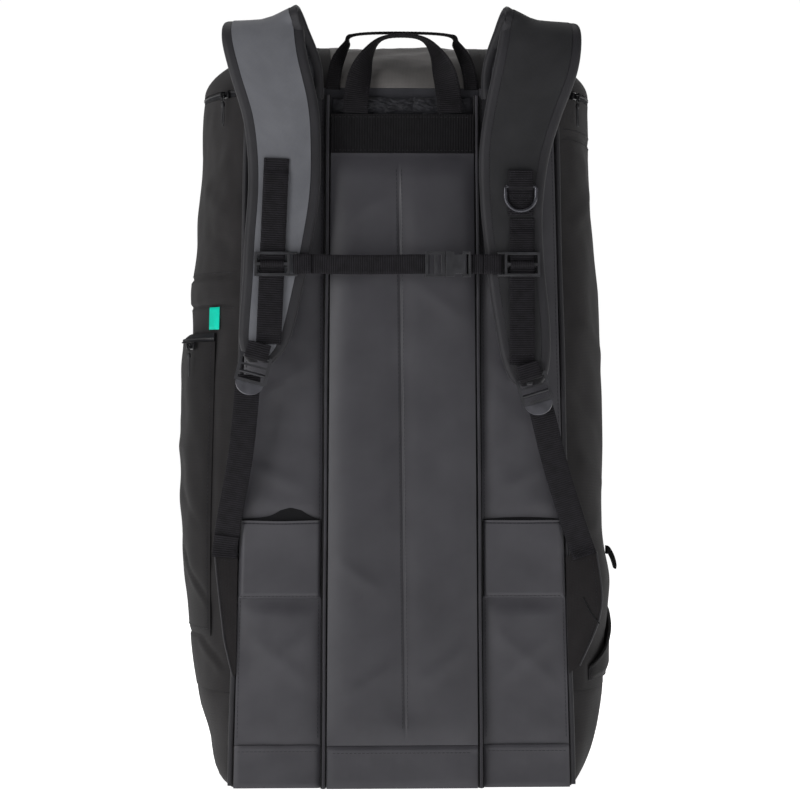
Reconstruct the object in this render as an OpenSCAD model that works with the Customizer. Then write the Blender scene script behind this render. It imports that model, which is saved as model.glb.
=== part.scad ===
// Racket backpack: a tall three-compartment racket bag that stands on its base,
// carried by two padded shoulder straps on its flat back.
// Origin: centre of the base plate's underside. +Z up, -Y is the wearer's side.

/* [Body] */
// Height of the back panel's top edge above the ground
back_h = 700; // [620:1:840]
// Rise of the crown above the back panel
crown_rise = 52; // [40:1:70]
// Depth from the back panel to the front
body_d = 300; // [250:1:360]
// Half width of the back panel at its top edge
back_half_top = 154; // [150:1:190]
// Half width of the back panel at the ground
back_half_base = 172; // [165:1:215]
// How far the sides bulge beyond the back panel
side_bulge = 81; // [60:1:95]
// Wall thickness of the padded fabric
wall = 5; // [4:0.5:6]
// Height of the hem along the back
hem_h = 43; // [34:1:52]
// Height of the base tub at the sides and front
tub_h = 95; // [80:1:115]

/* [Compartments] */
// Half width of the centre panel at its top edge
centre_half_top = 74; // [66:1:76]
// Half width of the centre panel at the ground
centre_half_base = 79; // [75:1:82]
// Distance of each divider from the middle
divider_x = 76; // [70:1:80]
// Thickness of a divider
divider_t = 3; // [2:0.5:4]
// Depth of the flat pocket in the back
pocket_gap = 6; // [5:0.5:10]
// Width of the strip that carries both zips
zip_frame_w = 10; // [8:1:14]
// Width of one zip tape
tape_w = 6.5; // [5:0.5:8]

/* [Shoulder straps] */
// Thickness of the shoulder pads
pad_t = 12; // [9:0.5:14]
// Distance from the back panel to the middle of the pads
strap_out = 32; // [30:1:40]
// Width of the strap webbing
web_w = 25; // [20:1:26]
// Thickness of the webbing
web_t = 1.6; // [1.2:0.1:2]
// Height of the sternum strap above the ground, on a back 700 high
sternum_z = 522; // [515:1:532]
// Width of the sternum webbing
sternum_w = 20; // [15:1:21]

/* [Handles] */
// Half span of the inner handle
grab_half = 47; // [42:1:50]
// Height of the inner handle above its seam
grab_rise = 78; // [66:1:80]
// Half span of the outer handle
haul_half = 69; // [67:1:70]
// Height of the outer handle above its seam
haul_rise = 59; // [54:1:66]

/* [Hidden] */
$fn = 32;

gap = 0.3;                                  // clearance between sewn pieces
y_back = -body_d / 2;                       // outer face of the back panels
y_front = body_d / 2;                       // outer face of the front
crest_y = -20;                              // the crown's highest line
crown_z = back_h + crown_rise;
foot_inset = 45;                            // how far the front leans in at the ground
foot_z = 140;                               // height below which it leans in
brow_z = back_h - 140;                      // height above which the front leans in
brow_inset = 30;                            // how far it leans in at the crown
cord_r = 2.6;                               // corner piping
cord_y = y_back + 2;                        // its axis
pocket_t = 4;                               // thickness of the back pocket's panel
pocket_y = y_back - pocket_gap - pocket_t;  // its outer face
pocket_top = back_h - 27;                   // its top edge
band_h = 39;                                // height of the webbing band along that edge
panel_t = 6;                                // thickness of the padded back panels
piping_w = 5.6;                             // width of the upright pipings
drawn_h = 700;                              // back height that the straps' heights are given for
drawn_pad = 12;                             // pad thickness that their first rows are given for
strap_shift = back_h - drawn_h;             // the straps, and all that hangs on them, move with the top edge
chest_z = sternum_z + strap_shift;
pad_y = y_back - strap_out;                 // middle of the pads
pad_face_y = pad_y - pad_t / 2 - gap;       // where the pad's facing begins
face_t = 1.5;                               // thickness of that facing
face_y = pad_face_y - face_t;               // its outer side
slack = 0.4;                                // running clearance of the plastic parts
bar_t = 1.6;                                // back bar of a sternum slider
rail_y = face_y - slack * 2 - bar_t;        // inner side of the rail webbing
wing_y = y_back - 1.2;                      // inner side of the strap wings

// ---- outline of the body ----
function back_half(z) = back_half_base + (back_half_top - back_half_base) * z / back_h;
function centre_half(z) = centre_half_base + (centre_half_top - centre_half_base) * z / back_h;
function arc(s) = 1 - sqrt(max(0, 1 - s * s));
function front_y(z) = z < foot_z ? y_front - foot_inset * arc((foot_z - z) / foot_z)
  : z > brow_z ? y_front - brow_inset * pow(min(1, (z - brow_z) / (back_h - brow_z)), 2) : y_front;
// share of the full side bulge at a height: it tucks in towards the ground and a little at the top
function fullness(z) = (0.12 + 0.88 * sqrt(max(0, 1 - pow(max(0, 1 - z / 300), 2))))
  * (1 - 0.13 * min(1, max(0, (z - back_h + 200) / 140)));
// side curve, from the back seam (t = 0) round to the front edge (t = 1), moved in by off
function bez(a, b, c, d, t) =
  a * pow(1 - t, 3) + 3 * b * pow(1 - t, 2) * t + 3 * c * (1 - t) * t * t + d * t * t * t;
function bez_dir(a, b, c, d, t) =
  3 * (b - a) * pow(1 - t, 2) + 6 * (c - b) * (1 - t) * t + 3 * (d - c) * t * t;
function side_ctrl(z) = let (h = back_half(z), f = fullness(z)) [
  [h + 1.2, cord_y + 3.4], [h + side_bulge * f, y_back + body_d * 0.3],
  [h + (side_bulge - 6) * f, front_y(z)], [frame_out + tape_w + 2 * gap, front_y(z)]];
function side_xy(z, t, off) = let (c = side_ctrl(z),
  p = bez(c[0], c[1], c[2], c[3], t), d = bez_dir(c[0], c[1], c[2], c[3], t),
  n = [d[1], -d[0]] / norm(d)) p - off * n;
function side_point(z, t, off) = let (p = side_xy(z, t, off)) [p[0], p[1], z];
// crown: the outline at back_h shrinks towards the crest by this share
function crown_share(s) = sqrt(1 - s * s);
crown_steps = [0, 0.2, 0.4, 0.58, 0.74, 0.87, 0.95, 0.99];
frame_in = divider_x - zip_frame_w / 2;
frame_out = divider_x + zip_frame_w / 2;

// side view of the body's outline from z_low up the front and over the crown, moved in by off
function front_run(z_low, off, from = 0) = [for (i = [from:10]) let (z = z_low + (back_h - z_low) * i / 10)
  [front_y(z) - off, z]];
function crown_front(off) = [for (s = crown_steps) if (s > 0) let (k = crown_share(s))
  [crest_y + (front_y(back_h) - crest_y - off) * k, back_h + (crown_rise - off) * s]];
function crown_back(off) = [for (s = crown_steps) let (k = crown_share(s))
  [crest_y + (y_back + off - crest_y) * k, back_h + (crown_rise - off) * s]];
function flip(list) = [for (i = [len(list) - 1:-1:0]) list[i]];
function over_crown(z_low, off) = concat(front_run(z_low, off), crown_front(off), flip(crown_back(off)));

// ---- builders ----
// closed solid between two grids of points of the same size
module sheet(outer, inner) {
  rows = len(outer);
  cols = len(outer[0]);
  count = rows * cols;
  function at(side, i, j) = side * count + i * cols + j;
  function quad(a, b, c, d) = [[a, b, c], [a, c, d]];
  grid = [for (i = [0:rows - 2], j = [0:cols - 2])
    each concat(quad(at(0, i, j), at(0, i + 1, j), at(0, i + 1, j + 1), at(0, i, j + 1)),
                quad(at(1, i, j), at(1, i, j + 1), at(1, i + 1, j + 1), at(1, i + 1, j)))];
  ends = [for (j = [0:cols - 2])
    each concat(quad(at(0, 0, j), at(0, 0, j + 1), at(1, 0, j + 1), at(1, 0, j)),
                quad(at(0, rows - 1, j + 1), at(0, rows - 1, j), at(1, rows - 1, j), at(1, rows - 1, j + 1)))];
  sides = [for (i = [0:rows - 2])
    each concat(quad(at(0, i + 1, 0), at(0, i, 0), at(1, i, 0), at(1, i + 1, 0)),
                quad(at(0, i, cols - 1), at(0, i + 1, cols - 1), at(1, i + 1, cols - 1), at(1, i, cols - 1)))];
  polyhedron(concat([for (r = outer) each r], [for (r = inner) each r]), concat(grid, ends, sides));
}

// closed solid through a stack of rings of the same size
module loft(rings) {
  n = len(rings[0]);
  last = len(rings) - 1;
  walls = [for (i = [0:last - 1], j = [0:n - 1]) let (k = (j + 1) % n)
    each [[i * n + j, (i + 1) * n + j, (i + 1) * n + k], [i * n + j, (i + 1) * n + k, i * n + k]]];
  polyhedron([for (r = rings) each r], concat(walls, [[for (j = [0:n - 1]) j]],
    [[for (j = [n - 1:-1:0]) last * n + j]]));
}

// outline in the side view (y, z), drawn out along x from x0 to x1
module side_view(points, x0, x1) {
  translate([x0, 0, 0]) rotate([90, 0, 90]) linear_extrude(x1 - x0) polygon(points);
}

// outline in the back view (x, z), from y0 (nearer the wearer) to y1
module back_view(points, y0, y1) {
  translate([0, y1, 0]) rotate([90, 0, 0]) linear_extrude(y1 - y0) polygon(points);
}

module left_of() { mirror([1, 0, 0]) children(); }

// smooth curve through control rows of any length
function through(p, i, t) = let (n = len(p) - 1, a = p[max(0, i - 1)], b = p[i], c = p[i + 1], d = p[min(n, i + 2)])
  0.5 * (2 * b + (c - a) * t + (2 * a - 5 * b + 4 * c - d) * t * t + (3 * b - a - 3 * c + d) * t * t * t);
function smooth(p, steps) = concat([for (i = [0:len(p) - 2], k = [0:steps - 1]) through(p, i, k / steps)],
  [p[len(p) - 1]]);
function unit(v) = v / norm(v);
function xyz(p) = [p[0], p[1], p[2]];

// band swept along rows of [x, y, z, width, thickness, across_x, across_y, across_z];
// lift moves it off the centre line along its own normal, trim narrows it, thick replaces its thickness
module band(rows, corner, lift = 0, trim = 0, thick = 0) {
  n = len(rows) - 1;
  loft([for (i = [0:n]) let (
      r = rows[i], along = unit(xyz(rows[min(n, i + 1)]) - xyz(rows[max(0, i - 1)])),
      rough = [r[5], r[6], r[7]], across = unit(rough - (rough * along) * along),
      out = cross(across, along), a = r[3] / 2 - trim, b = (thick > 0 ? thick : r[4]) / 2,
      c = min(corner, b * 0.7), mid = xyz(r) + out * lift)
    [for (q = [[a - c, b], [a, b - c], [a, c - b], [a - c, -b], [c - a, -b], [-a, c - b], [-a, b - c], [c - a, b]])
      mid + across * q[0] + out * q[1]]]);
}

// ---- base ----
function tub_ring(z, off) = let (n = 10, side = [for (i = [0:n]) side_point(z, i / n, off)],
    h = back_half(z) - 3.4 - off, back = y_back + off, notch = off > 0 ? 3 : 4.2)
  concat([[h, back, z], [h, back + notch, z]], side, [for (p = flip(side)) [-p[0], p[1], z]],
    [[-h, back + notch, z], [-h, back, z]]);

module tub_shell() {
  difference() {
    loft([for (z = [0, 4, 10, 18, 30, 55, tub_h]) tub_ring(z, 0)]);
    loft([for (z = [wall, 10, 18, 30, 55, tub_h + 1]) tub_ring(z, wall)]);
    translate([-300, y_back - 1, hem_h]) cube([600, 12, tub_h]);
  }
}
module base_floor() {
  color("#39383b") intersection() { tub_shell(); translate([-400, -400, -1]) cube([800, 800, wall + 1]); }
}
module base_wall() {
  color("#3f3e41") difference() { tub_shell(); translate([-400, -400, -1]) cube([800, 800, wall + 1 + gap]); }
}

module base_board(x0, x1, front) {
  translate([x0, y_back + wall + 2, wall + gap]) cube([x1 - x0, front - y_back - wall - 2, 3]);
}
module base_boards() {
  side_in = divider_x + divider_t / 2 + 1;
  color("#1f1f22") {
    base_board(-divider_x + divider_t / 2 + 1, divider_x - divider_t / 2 - 1, 88);
    for (s = [0, 1]) mirror([s, 0, 0]) base_board(side_in, back_half(0) - 26, 55);
  }
}

// ---- back ----
module back_panel() {
  inner = piping_w / 2 + gap;
  edge = 3.2;
  low = hem_h + gap;
  top = back_h - gap;
  color("#454448") back_view([[centre_half(low) + inner, low], [back_half(low) - edge, low],
    [back_half(top) - edge, top], [centre_half(top) + inner, top]], y_back, y_back + panel_t);
}
module back_wall_centre() {
  h = centre_half_top + piping_w / 2;
  color("#3a393d") translate([-h, y_back, hem_h + gap]) cube([2 * h, panel_t, back_h - hem_h - 2 * gap]);
}
module centre_shape(low, top, y0, y1) {
  in = piping_w / 2 + gap;
  back_view([[-centre_half(low) + in, low], [centre_half(low) - in, low],
    [centre_half(top) - in, top], [-centre_half(top) + in, top]], y0, y1);
}
module back_pocket_panel() {
  color("#47464a") centre_shape(hem_h + gap, pocket_top, pocket_y, pocket_y + pocket_t);
}
module centre_hem() {
  color("#3f3e41") centre_shape(0, hem_h, pocket_y, y_back - gap);
}
module webbing_band() {
  color("#1c1b20") centre_shape(pocket_top - band_h, pocket_top, pocket_y - web_t - 0.2, pocket_y - 0.2);
}
module upright_pipings() {
  w = piping_w / 2;
  top = back_h - 8;
  color("#232228") for (s = [0, 1]) mirror([s, 0, 0]) back_view([[centre_half(0) - w, 0], [centre_half(0) + w, 0], [centre_half(top) + w, top],
    [centre_half(top) - w, top]], pocket_y - 1, y_back - gap);
}
module along_seam(r, z0, z1) {
  lean = atan((back_half_base - back_half_top) / back_h);
  translate([back_half(z0), cord_y, z0]) rotate([0, -lean, 0]) cylinder(r = r, h = (z1 - z0) / cos(lean));
}
module seam_cords() { color("#1a1a1e") for (s = [0, 1]) mirror([s, 0, 0]) along_seam(cord_r, 2, back_h - 2); }

module sleeve(low = 190, top = 268) {
  in = piping_w / 2 + 2;
  depth = 8.5;
  skin = 1.5;
  rim = 4;
  color("#414044") difference() {
    back_view([[centre_half(low) + in, low], [back_half(low) - 6, low], [back_half(top) - 6, top],
      [centre_half(top) + in, top]], y_back - gap - depth, y_back - gap);
    back_view([[centre_half(low) + in + rim, low + rim], [back_half(low) - 6 - rim, low + rim],
      [back_half(top) - 6 - rim, top + 1], [centre_half(top) + in + rim, top + 1]],
      y_back - gap - depth + skin, y_back);
  }
}

// ---- inside and crown ----
module dividers() {
  off = wall + gap;
  outline = concat([[y_back + panel_t + gap, wall + gap], [front_y(wall) - wall - 3, wall + gap]],
    front_run(30, off), crown_front(off), flip(crown_back(off + 1)), [[y_back + panel_t + gap, back_h - 10]]);
  color("#2c2b30") for (s = [0, 1]) mirror([s, 0, 0])
    side_view(outline, divider_x - divider_t / 2, divider_x + divider_t / 2);
}
module zip_frames() {
  low = tub_h + 1;
  outline = concat(over_crown(low, gap), flip(over_crown(low, wall)));
  color("#1d1d21") for (s = [0, 1]) mirror([s, 0, 0]) side_view(outline, frame_in, frame_out);
}
module top_panel() {
  color("#464545") side_view(concat(crown_back(0), [[crest_y - 1, crown_z - 1.6]],
    [[crest_y - 1, crown_z - 1.6 - wall + 1]], flip(crown_back(wall))), -frame_in + gap, frame_in - gap);
}
function crown_ring(s, off) = let (k = crown_share(s), n = 10, z = back_h + gap + (crown_rise - gap - off) * s,
    h = back_half(back_h) + 1.2 - off, x0 = off > 0 ? frame_out - 3 : frame_out + gap,
    flat = concat([[x0, y_back + off], [h, y_back + off]], [for (i = [1:n]) side_xy(back_h, i / n, off)],
      [[x0, front_y(back_h) - off]]))
  [for (p = flat) [x0 + (p[0] - x0) * k, crest_y + (p[1] - crest_y) * k, z]];
module shoulder_panel() {
  color("#302f31") difference() {
    loft([for (s = crown_steps) crown_ring(s, 0)]);
    loft(concat([[for (p = crown_ring(0, wall)) p - [0, 0, 2]]],
      [for (s = crown_steps) crown_ring(s, wall)]));
  }
}

// ---- opening covers ----
module cover_shape(x) {
  low = tub_h + 1;
  rest = [[crest_y + 1, crown_z - 1.6]];
  side_view(concat(front_run(low, 0), crown_front(0), rest, [[crest_y + 1, crown_z - 1.6 - wall + 1]],
    flip(crown_front(wall)), flip(front_run(low, wall))), x[0], x[1]);
}
module front_cover() { color("#302f31") cover_shape([-frame_in + tape_w + 2 * gap, frame_in - tape_w - 2 * gap]); }
module front_cover_zip() {
  color("#161619") for (s = [0, 1]) mirror([s, 0, 0]) difference() {
    cover_shape([frame_in - tape_w - gap, frame_in - gap]);
    side_view(concat(front_run(tub_h - 5, 1.8), crown_front(1.8), [[crest_y, crown_z - 3.4],
      [crest_y, 0], [0, 0]]), frame_in - tape_w - 1, frame_in + 1);
  }
}
side_low = tub_h + 1;
side_top = back_h - 7.5;
side_rows = [for (k = [0:11]) side_low + (side_top - side_low) * k / 11];
function side_grid(rows, t0, t1, n, off) = [for (z = rows) [for (i = [0:n])
  side_point(z, t0 + (t1 - t0) * i / n, off)]];
module side_panel() {
  color("#323032") sheet(side_grid(side_rows, 0, 1, 14, 0), side_grid(side_rows, 0, 1, 14, wall));
}
// zip tape along the side panel's top edge and down its front edge
module side_zip() {
  rows = [side_top + gap, side_top + tape_w];
  color("#161619") {
    sheet(side_grid(rows, 0.03, 1, 16, 0.2), side_grid(rows, 0.03, 1, 16, 3.2));
    intersection() {
      side_view(concat(front_run(side_low, 0.2), flip(front_run(side_low, 3.2))), frame_out + gap,
        frame_out + tape_w + gap);
      cube([300, 400, 2 * (side_top + tape_w)], center = true);
    }
  }
}

// pocket sewn on a side panel: bulges in the middle, open along its top edge
function pocket_swell(u, v) = min(1, 9 * min(u, 1 - u), 5 * v);
module side_pocket_skin(t0, t1, low, tops, swell) {
  n = 10;
  m = 8;
  function point(u, v, base) = let (top = tops[0] + (tops[1] - tops[0]) * u)
    side_point(low + (top - low) * v, t0 + (t1 - t0) * u, -base - swell * pocket_swell(u, v));
  sheet([for (j = [0:m]) [for (i = [0:n]) point(i / n, j / m, 1.9)]],
    [for (j = [0:m]) [for (i = [0:n]) point(i / n, j / m, gap)]]);
}
pocket_from = 0.12;                         // where the left pocket starts and ends round the side
pocket_to = 0.78;
pocket_mouth = 447;                         // height of its zip
pocket_deep = 9;                            // how far the pockets stand off the side
module left_side_pocket() { left_of() color("#2e2c2e") 
  side_pocket_skin(pocket_from, pocket_to, 150, [pocket_mouth, pocket_mouth], pocket_deep); }
module right_side_pocket() { color("#242425") side_pocket_skin(0.1, 0.72, 104, [118, 205], pocket_deep - 2); }
// strip that closes the left pocket from its upper edge back to the side panel
module pocket_zip() {
  n = 10;
  function row(z, base, swell) = [for (i = [0:n]) side_point(z, pocket_from + (pocket_to - pocket_from) * i / n,
    -base - swell * pocket_swell(i / n, 1))];
  left_of() color("#161619") sheet([row(pocket_mouth + gap, 1.9, pocket_deep), row(pocket_mouth + 9, 1.6, 0)],
    [row(pocket_mouth + gap, gap, 0), row(pocket_mouth + 9, gap, 0)]);
}
module accent_tag() {
  left_of() color("#14c3aa") sheet(side_grid([459, 482], 0.1, 0.16, 2, -1.4), side_grid([459, 482], 0.1, 0.16, 2, -gap));
}
module right_pull_tab() {
  p = side_xy(232, 0.38, 0);
  color("#242425") translate([p[0] + gap, p[1], 232]) rotate([90, 0, 0]) linear_extrude(15, center = true)
    polygon([[0, 4], [5, 1], [10, -12], [11.5, -20], [9, -20.5], [7.5, -13], [3, -4], [0, -5]]);
}

// ---- handles ----
// legs rise from the seam, turn edge on and meet at the top; half, rise and lean set the loop
function handle_rows(half, foot_z, foot_y, rise, top_y, flat) = let (
  leg = [[half, 0, 0], [half - 1, 0.22, 0], [half - 5, 0.5, 25], [half - 14, 0.78, 62], [half - flat, 0.96, 85]],
  side = [for (q = leg) [-q[0], foot_y + (top_y - foot_y) * pow(q[1], 1.6), foot_z + rise * q[1], web_w, web_t,
    cos(q[2]), sin(q[2]), 0]],
  top = [[0, top_y, foot_z + rise, web_w, web_t, 0, 1, 0]],
  other = [for (q = flip(leg)) [q[0], foot_y + (top_y - foot_y) * pow(q[1], 1.6), foot_z + rise * q[1], web_w, web_t,
    -cos(q[2]), sin(q[2]), 0]])
  smooth(concat(side, top, other), 2);
grab_y = pocket_y - 1.5 * web_t - 0.5;
haul_y = y_back - 0.8 - web_t / 2;
module inner_handle() {
  color("#1b1a1f") band(handle_rows(grab_half, pocket_top + 1, grab_y, grab_rise, y_back - 3, 27), 0.4);
}
module outer_handle() {
  color("#1b1a1f") band([for (r = handle_rows(haul_half, back_h - 2, haul_y, haul_rise, y_back + 17, 22))
    [for (i = [0:7]) i == 3 ? web_w * 0.56 : r[i]]], 0.4);
}

// ---- shoulder straps ----
// rows of [x, distance in front of the back panel, height, width, slope of the width direction]
strap_right = [[104, 6.5, 686, 50, 0], [108, 8.5, 716, 56, 0], [122, 14, 743, 68, -0.1], [133, 23.5, 758, 79, -0.17],
  [136, 33, 749, 81, -0.17], [132, 36, 721, 82, -0.17], [119, 33.5, 675, 75, -0.15], [110, 32, 632, 69, -0.05],
  [107.5, 32, 585, 62, 0], [109, 32, 549, 58, 0], [113, 32, 505, 56, 0.05], [118, 32, 466, 54, 0.1],
  [121.5, 32, 434, 49, 0.1], [124, 32, 412, 38, 0.1], [125, 32, 402, 22, 0.1]];
strap_left = [[104, 6.5, 686, 50, 0], [108, 8.5, 716, 56, 0], [124, 14, 743, 68, -0.1], [136, 23.5, 758, 78, -0.17],
  [139, 33, 749, 81, -0.17], [134, 36, 721, 78, -0.17], [122, 33.5, 675, 75, -0.1], [118, 32, 632, 72, -0.02],
  [118.5, 32, 592, 70, 0.02], [124, 32, 545, 66, 0.05], [129, 32, 505, 60, 0.07], [135, 32, 466, 54, 0.08],
  [139, 32, 446, 48, 0.08], [141, 32, 434, 38, 0.08], [141.5, 32, 425, 24, 0.08]];
function strap_rows(rows) = smooth([for (r = rows) [r[0],
  y_back - (r[1] > 31 ? r[1] - 32 + strap_out : r[1] + (pad_t - drawn_pad) / 2), r[2] + strap_shift, r[3],
  pad_t * (r[2] > drawn_h && r[1] < 10 ? 0.7 : 1), 1, 0, r[4]]], 2);
module strap_pad(rows) { color("#39383c") band(strap_rows(rows), 4); }
module strap_face(rows, shade) {
  all = strap_rows(rows);
  front = [for (i = [8:len(all) - 4]) all[i]];
  color(shade) band(front, 0.4, lift = -(pad_t / 2 + gap + face_t / 2), trim = 11, thick = face_t);
}

// webbing sewn to the pad at both ends and free between, so that a slider can run on it
module rail(x, mid_z, low, top, lean) {
  sewn = 11;
  translate([x, rail_y - web_t, mid_z]) rotate([0, lean, 0]) {
    translate([-web_w / 2, 0, low - mid_z]) cube([web_w, web_t, top - low]);
    for (z = [low, top - sewn]) translate([-web_w / 2, web_t - 0.01, z - mid_z])
      cube([web_w, face_y - gap - rail_y + 0.01, sewn]);
  }
}
rail_left_x = -130;
rail_right_x = 117;
module left_rail_webbing() { color("#202023") {
  rail(rail_left_x, chest_z, 443 + strap_shift, 630 + strap_shift, 2.5);
  pad_loop(lock_left);
} }
module right_rail_webbing() { color("#202023") {
  rail(rail_right_x, chest_z, 423 + strap_shift, 568 + strap_shift, 0);
  pad_loop(lock_right);
} }

// D ring on the right strap
ring_x = 115.5;
ring_z = 599 + strap_shift;
ring_r = 1.8;
ring_half = 17;
ring_y = face_y - 1.2 - gap - slack - ring_r;
module d_ring_loop() {
  hole = ring_r + 0.1;
  eye = hole + web_t;
  color("#29292b") {
    difference() {
      union() {
        translate([ring_x - web_w / 2, ring_y, ring_z]) rotate([0, 90, 0]) cylinder(r = eye, h = web_w);
        translate([ring_x - web_w / 2, ring_y, ring_z]) cube([web_w, eye, 17]);
        translate([ring_x - web_w / 2, ring_y - eye, ring_z]) cube([web_w, eye, 8]);
        translate([ring_x - web_w / 2, face_y - gap - 1.2, ring_z - 29]) cube([web_w, 1.2, 46]);
      }
      translate([ring_x - web_w, ring_y, ring_z]) rotate([0, 90, 0]) cylinder(r = hole, h = 2 * web_w);
      translate([ring_x - web_w, face_y - gap - 8, ring_z - 30]) cube([2 * web_w, 8 - 1.2, 26]);
    }
  }
}
module d_ring() {
  bow = ring_half - ring_r;
  color("#2b2b2d") translate([ring_x, ring_y, ring_z]) {
    translate([-ring_half + ring_r, 0, 0]) rotate([0, 90, 0]) cylinder(r = ring_r, h = 2 * bow);
    for (s = [-1, 1]) translate([s * bow, 0, -9]) cylinder(r = ring_r, h = 9);
    for (s = [-1, 1]) translate([s * bow, 0, 0]) sphere(r = ring_r);
    translate([0, 0, -9]) rotate([90, 0, 0]) rotate([0, 0, 180]) rotate_extrude(angle = 180)
      translate([bow, 0]) circle(r = ring_r);
  }
}

// ladder lock: frame, round upper bar for the pad's loop, lower bar for the webbing, thumb tab
lock_w = web_w + 7;
lock_len = 30;
lock_t = 3.4;
lock_y = face_y - 6.2;
upper_bar_r = 1.6;
lock_left = [-144.5, 434 + strap_shift, 15];
lock_right = [124.2, 414 + strap_shift, -17];
module lock_frame(place) {
  translate([place[0], lock_y, place[1]]) rotate([0, place[2], 0]) children();
}
module ladder_lock(place, shade) {
  side = 3;
  color(shade) lock_frame(place) {
    for (s = [-1, 1]) translate([s * (lock_w / 2 - side / 2) - side / 2, -lock_t / 2, -lock_len])
      cube([side, lock_t, lock_len - 1.8]);
    translate([-lock_w / 2 + 1, 0, -3.5]) rotate([0, 90, 0]) cylinder(r = upper_bar_r, h = lock_w - 2);
    translate([-lock_w / 2, -lock_t / 2, -14]) cube([lock_w, 1.6, 2]);
    translate([-lock_w / 2 + 1, 0.4, -20.5]) rotate([0, 90, 0]) cylinder(r = 1.7, h = lock_w - 2);
    translate([-lock_w / 2, -lock_t / 2, -lock_len]) cube([lock_w, lock_t, 3]);
    translate([0, 0, -lock_len + 1]) rotate([62, 0, 0]) translate([0, 0, -1.7]) intersection() {
      cylinder(r = lock_w / 2 - 2, h = 1.7);
      translate([-lock_w, -2 * lock_w, -1]) cube([2 * lock_w, 2 * lock_w, 4]);
    }
  }
}
// webbing that comes down from the rail, round the upper bar and back
module pad_loop(place) {
  eye = upper_bar_r + 0.1;
  lock_frame(place) translate([-web_w / 2 + 1, 0, -3.5]) difference() {
    union() {
      rotate([0, 90, 0]) cylinder(r = eye + 1.1, h = web_w - 2);
      cube([web_w - 2, eye + 1.1, 14]);
    }
    translate([-1, 0, 0]) rotate([0, 90, 0]) cylinder(r = eye, h = web_w);
  }
}

// lower webbing: rows of [x, distance in front of the back panel, height, twist] from lock to wing
lower_left = [[-153.5, 36, 413], [-157, 34, 380], [-163, 26, 330], [-171, 15, 280], [-176, 4.8, 246], [-177.5, 3.9, 231]];
lower_right = [[134, 36, 387], [140, 34, 368], [152, 26, 325], [168, 15, 275], [178, 4.8, 246], [183, 3.9, 231]];
wing_top = 246;                             // height at which the lower webbing meets its wing
module lower_webbing(rows) {
  function height(z) = z + strap_shift * max(0, (z - wing_top) / (rows[0][2] - wing_top));
  color("#212022") band(smooth([for (r = rows) [r[0], y_back - (r[1] > 31 ? r[1] - 32 + strap_out : r[1]),
    height(r[2]), web_w, web_t, 1, 0, 0]], 3), 0.4);
}
module strap_wings() {
  color("#212022") {
    back_view([[-164.2, 231], [-187, 236], [-182, 188], [-177, 146], [-169, 112], [-166, 118]], wing_y - 1.6, wing_y);
    back_view([[164.2, 231], [195, 236], [201, 190], [196, 163], [178, 122], [167, 118]], wing_y - 1.6, wing_y);
  }
}

// ---- sternum strap ----
slider_w = web_w + 10;
slider_h = 24;
slider_front = rail_y - web_t - slack;
// frame round the rail webbing, with an upright bar for the sternum webbing at its inner side
module sternum_slider(x, inward) {
  side = 2.4;
  front_t = 3.4;
  back = rail_y + slack;
  color("#2a2a2c") translate([x, 0, chest_z]) {
    for (z = [-slider_h / 2, -1.4, slider_h / 2 - 2.8]) translate([-slider_w / 2, slider_front - front_t, z])
      cube([slider_w, front_t - (z == -1.4 ? 1.2 : 0), 2.8]);
    for (s = [-1, 1]) translate([s * (slider_w / 2 - side / 2) - side / 2, slider_front - front_t, -slider_h / 2])
      cube([side, back + bar_t - slider_front + front_t, slider_h]);
    translate([-slider_w / 2, back, -3]) cube([slider_w, bar_t, 6]);
    translate([inward * (slider_w / 2 + 6), slider_front - 1.7, -slider_h / 2]) cylinder(r = 1.4, h = slider_h);
    for (z = [-slider_h / 2, slider_h / 2 - 2]) translate([inward > 0 ? slider_w / 2 - 1 : -slider_w / 2 - 7,
      slider_front - front_t, z]) cube([8, front_t, 2]);
  }
}
// webbing sewn round that bar
module webbing_eye(x, inward, reach) {
  bar_x = x + inward * (slider_w / 2 + 6);
  eye = 1.5;
  h = sternum_w - 1;
  translate([bar_x, slider_front - 1.7, chest_z - h / 2]) difference() {
    union() {
      cylinder(r = eye + 1.2, h = h);
      translate([inward > 0 ? 0 : -reach, -web_t / 2, 0]) cube([reach, web_t, h]);
      translate([inward > 0 ? 0 : -14, -eye - 1.2, 0]) cube([14, 2 * eye + 2.4, h]);
    }
    translate([0, 0, -1]) cylinder(r = eye, h = h + 2);
  }
}
buckle_x = 41;                              // the mouth between the two halves
male_x = 21;                                // the male half's outer end
female_x = 66;                              // the female half's outer end
sternum_y = slider_front - 1.7;             // middle of the sternum webbing
module left_sternum_webbing() {
  color("#29282c") webbing_eye(rail_left_x, 1, male_x + 5 - rail_left_x - slider_w / 2 - 6);
}
module right_sternum_webbing() {
  color("#29282c") webbing_eye(rail_right_x, -1, rail_right_x - slider_w / 2 - 6 - female_x + 4.5);
}

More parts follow.
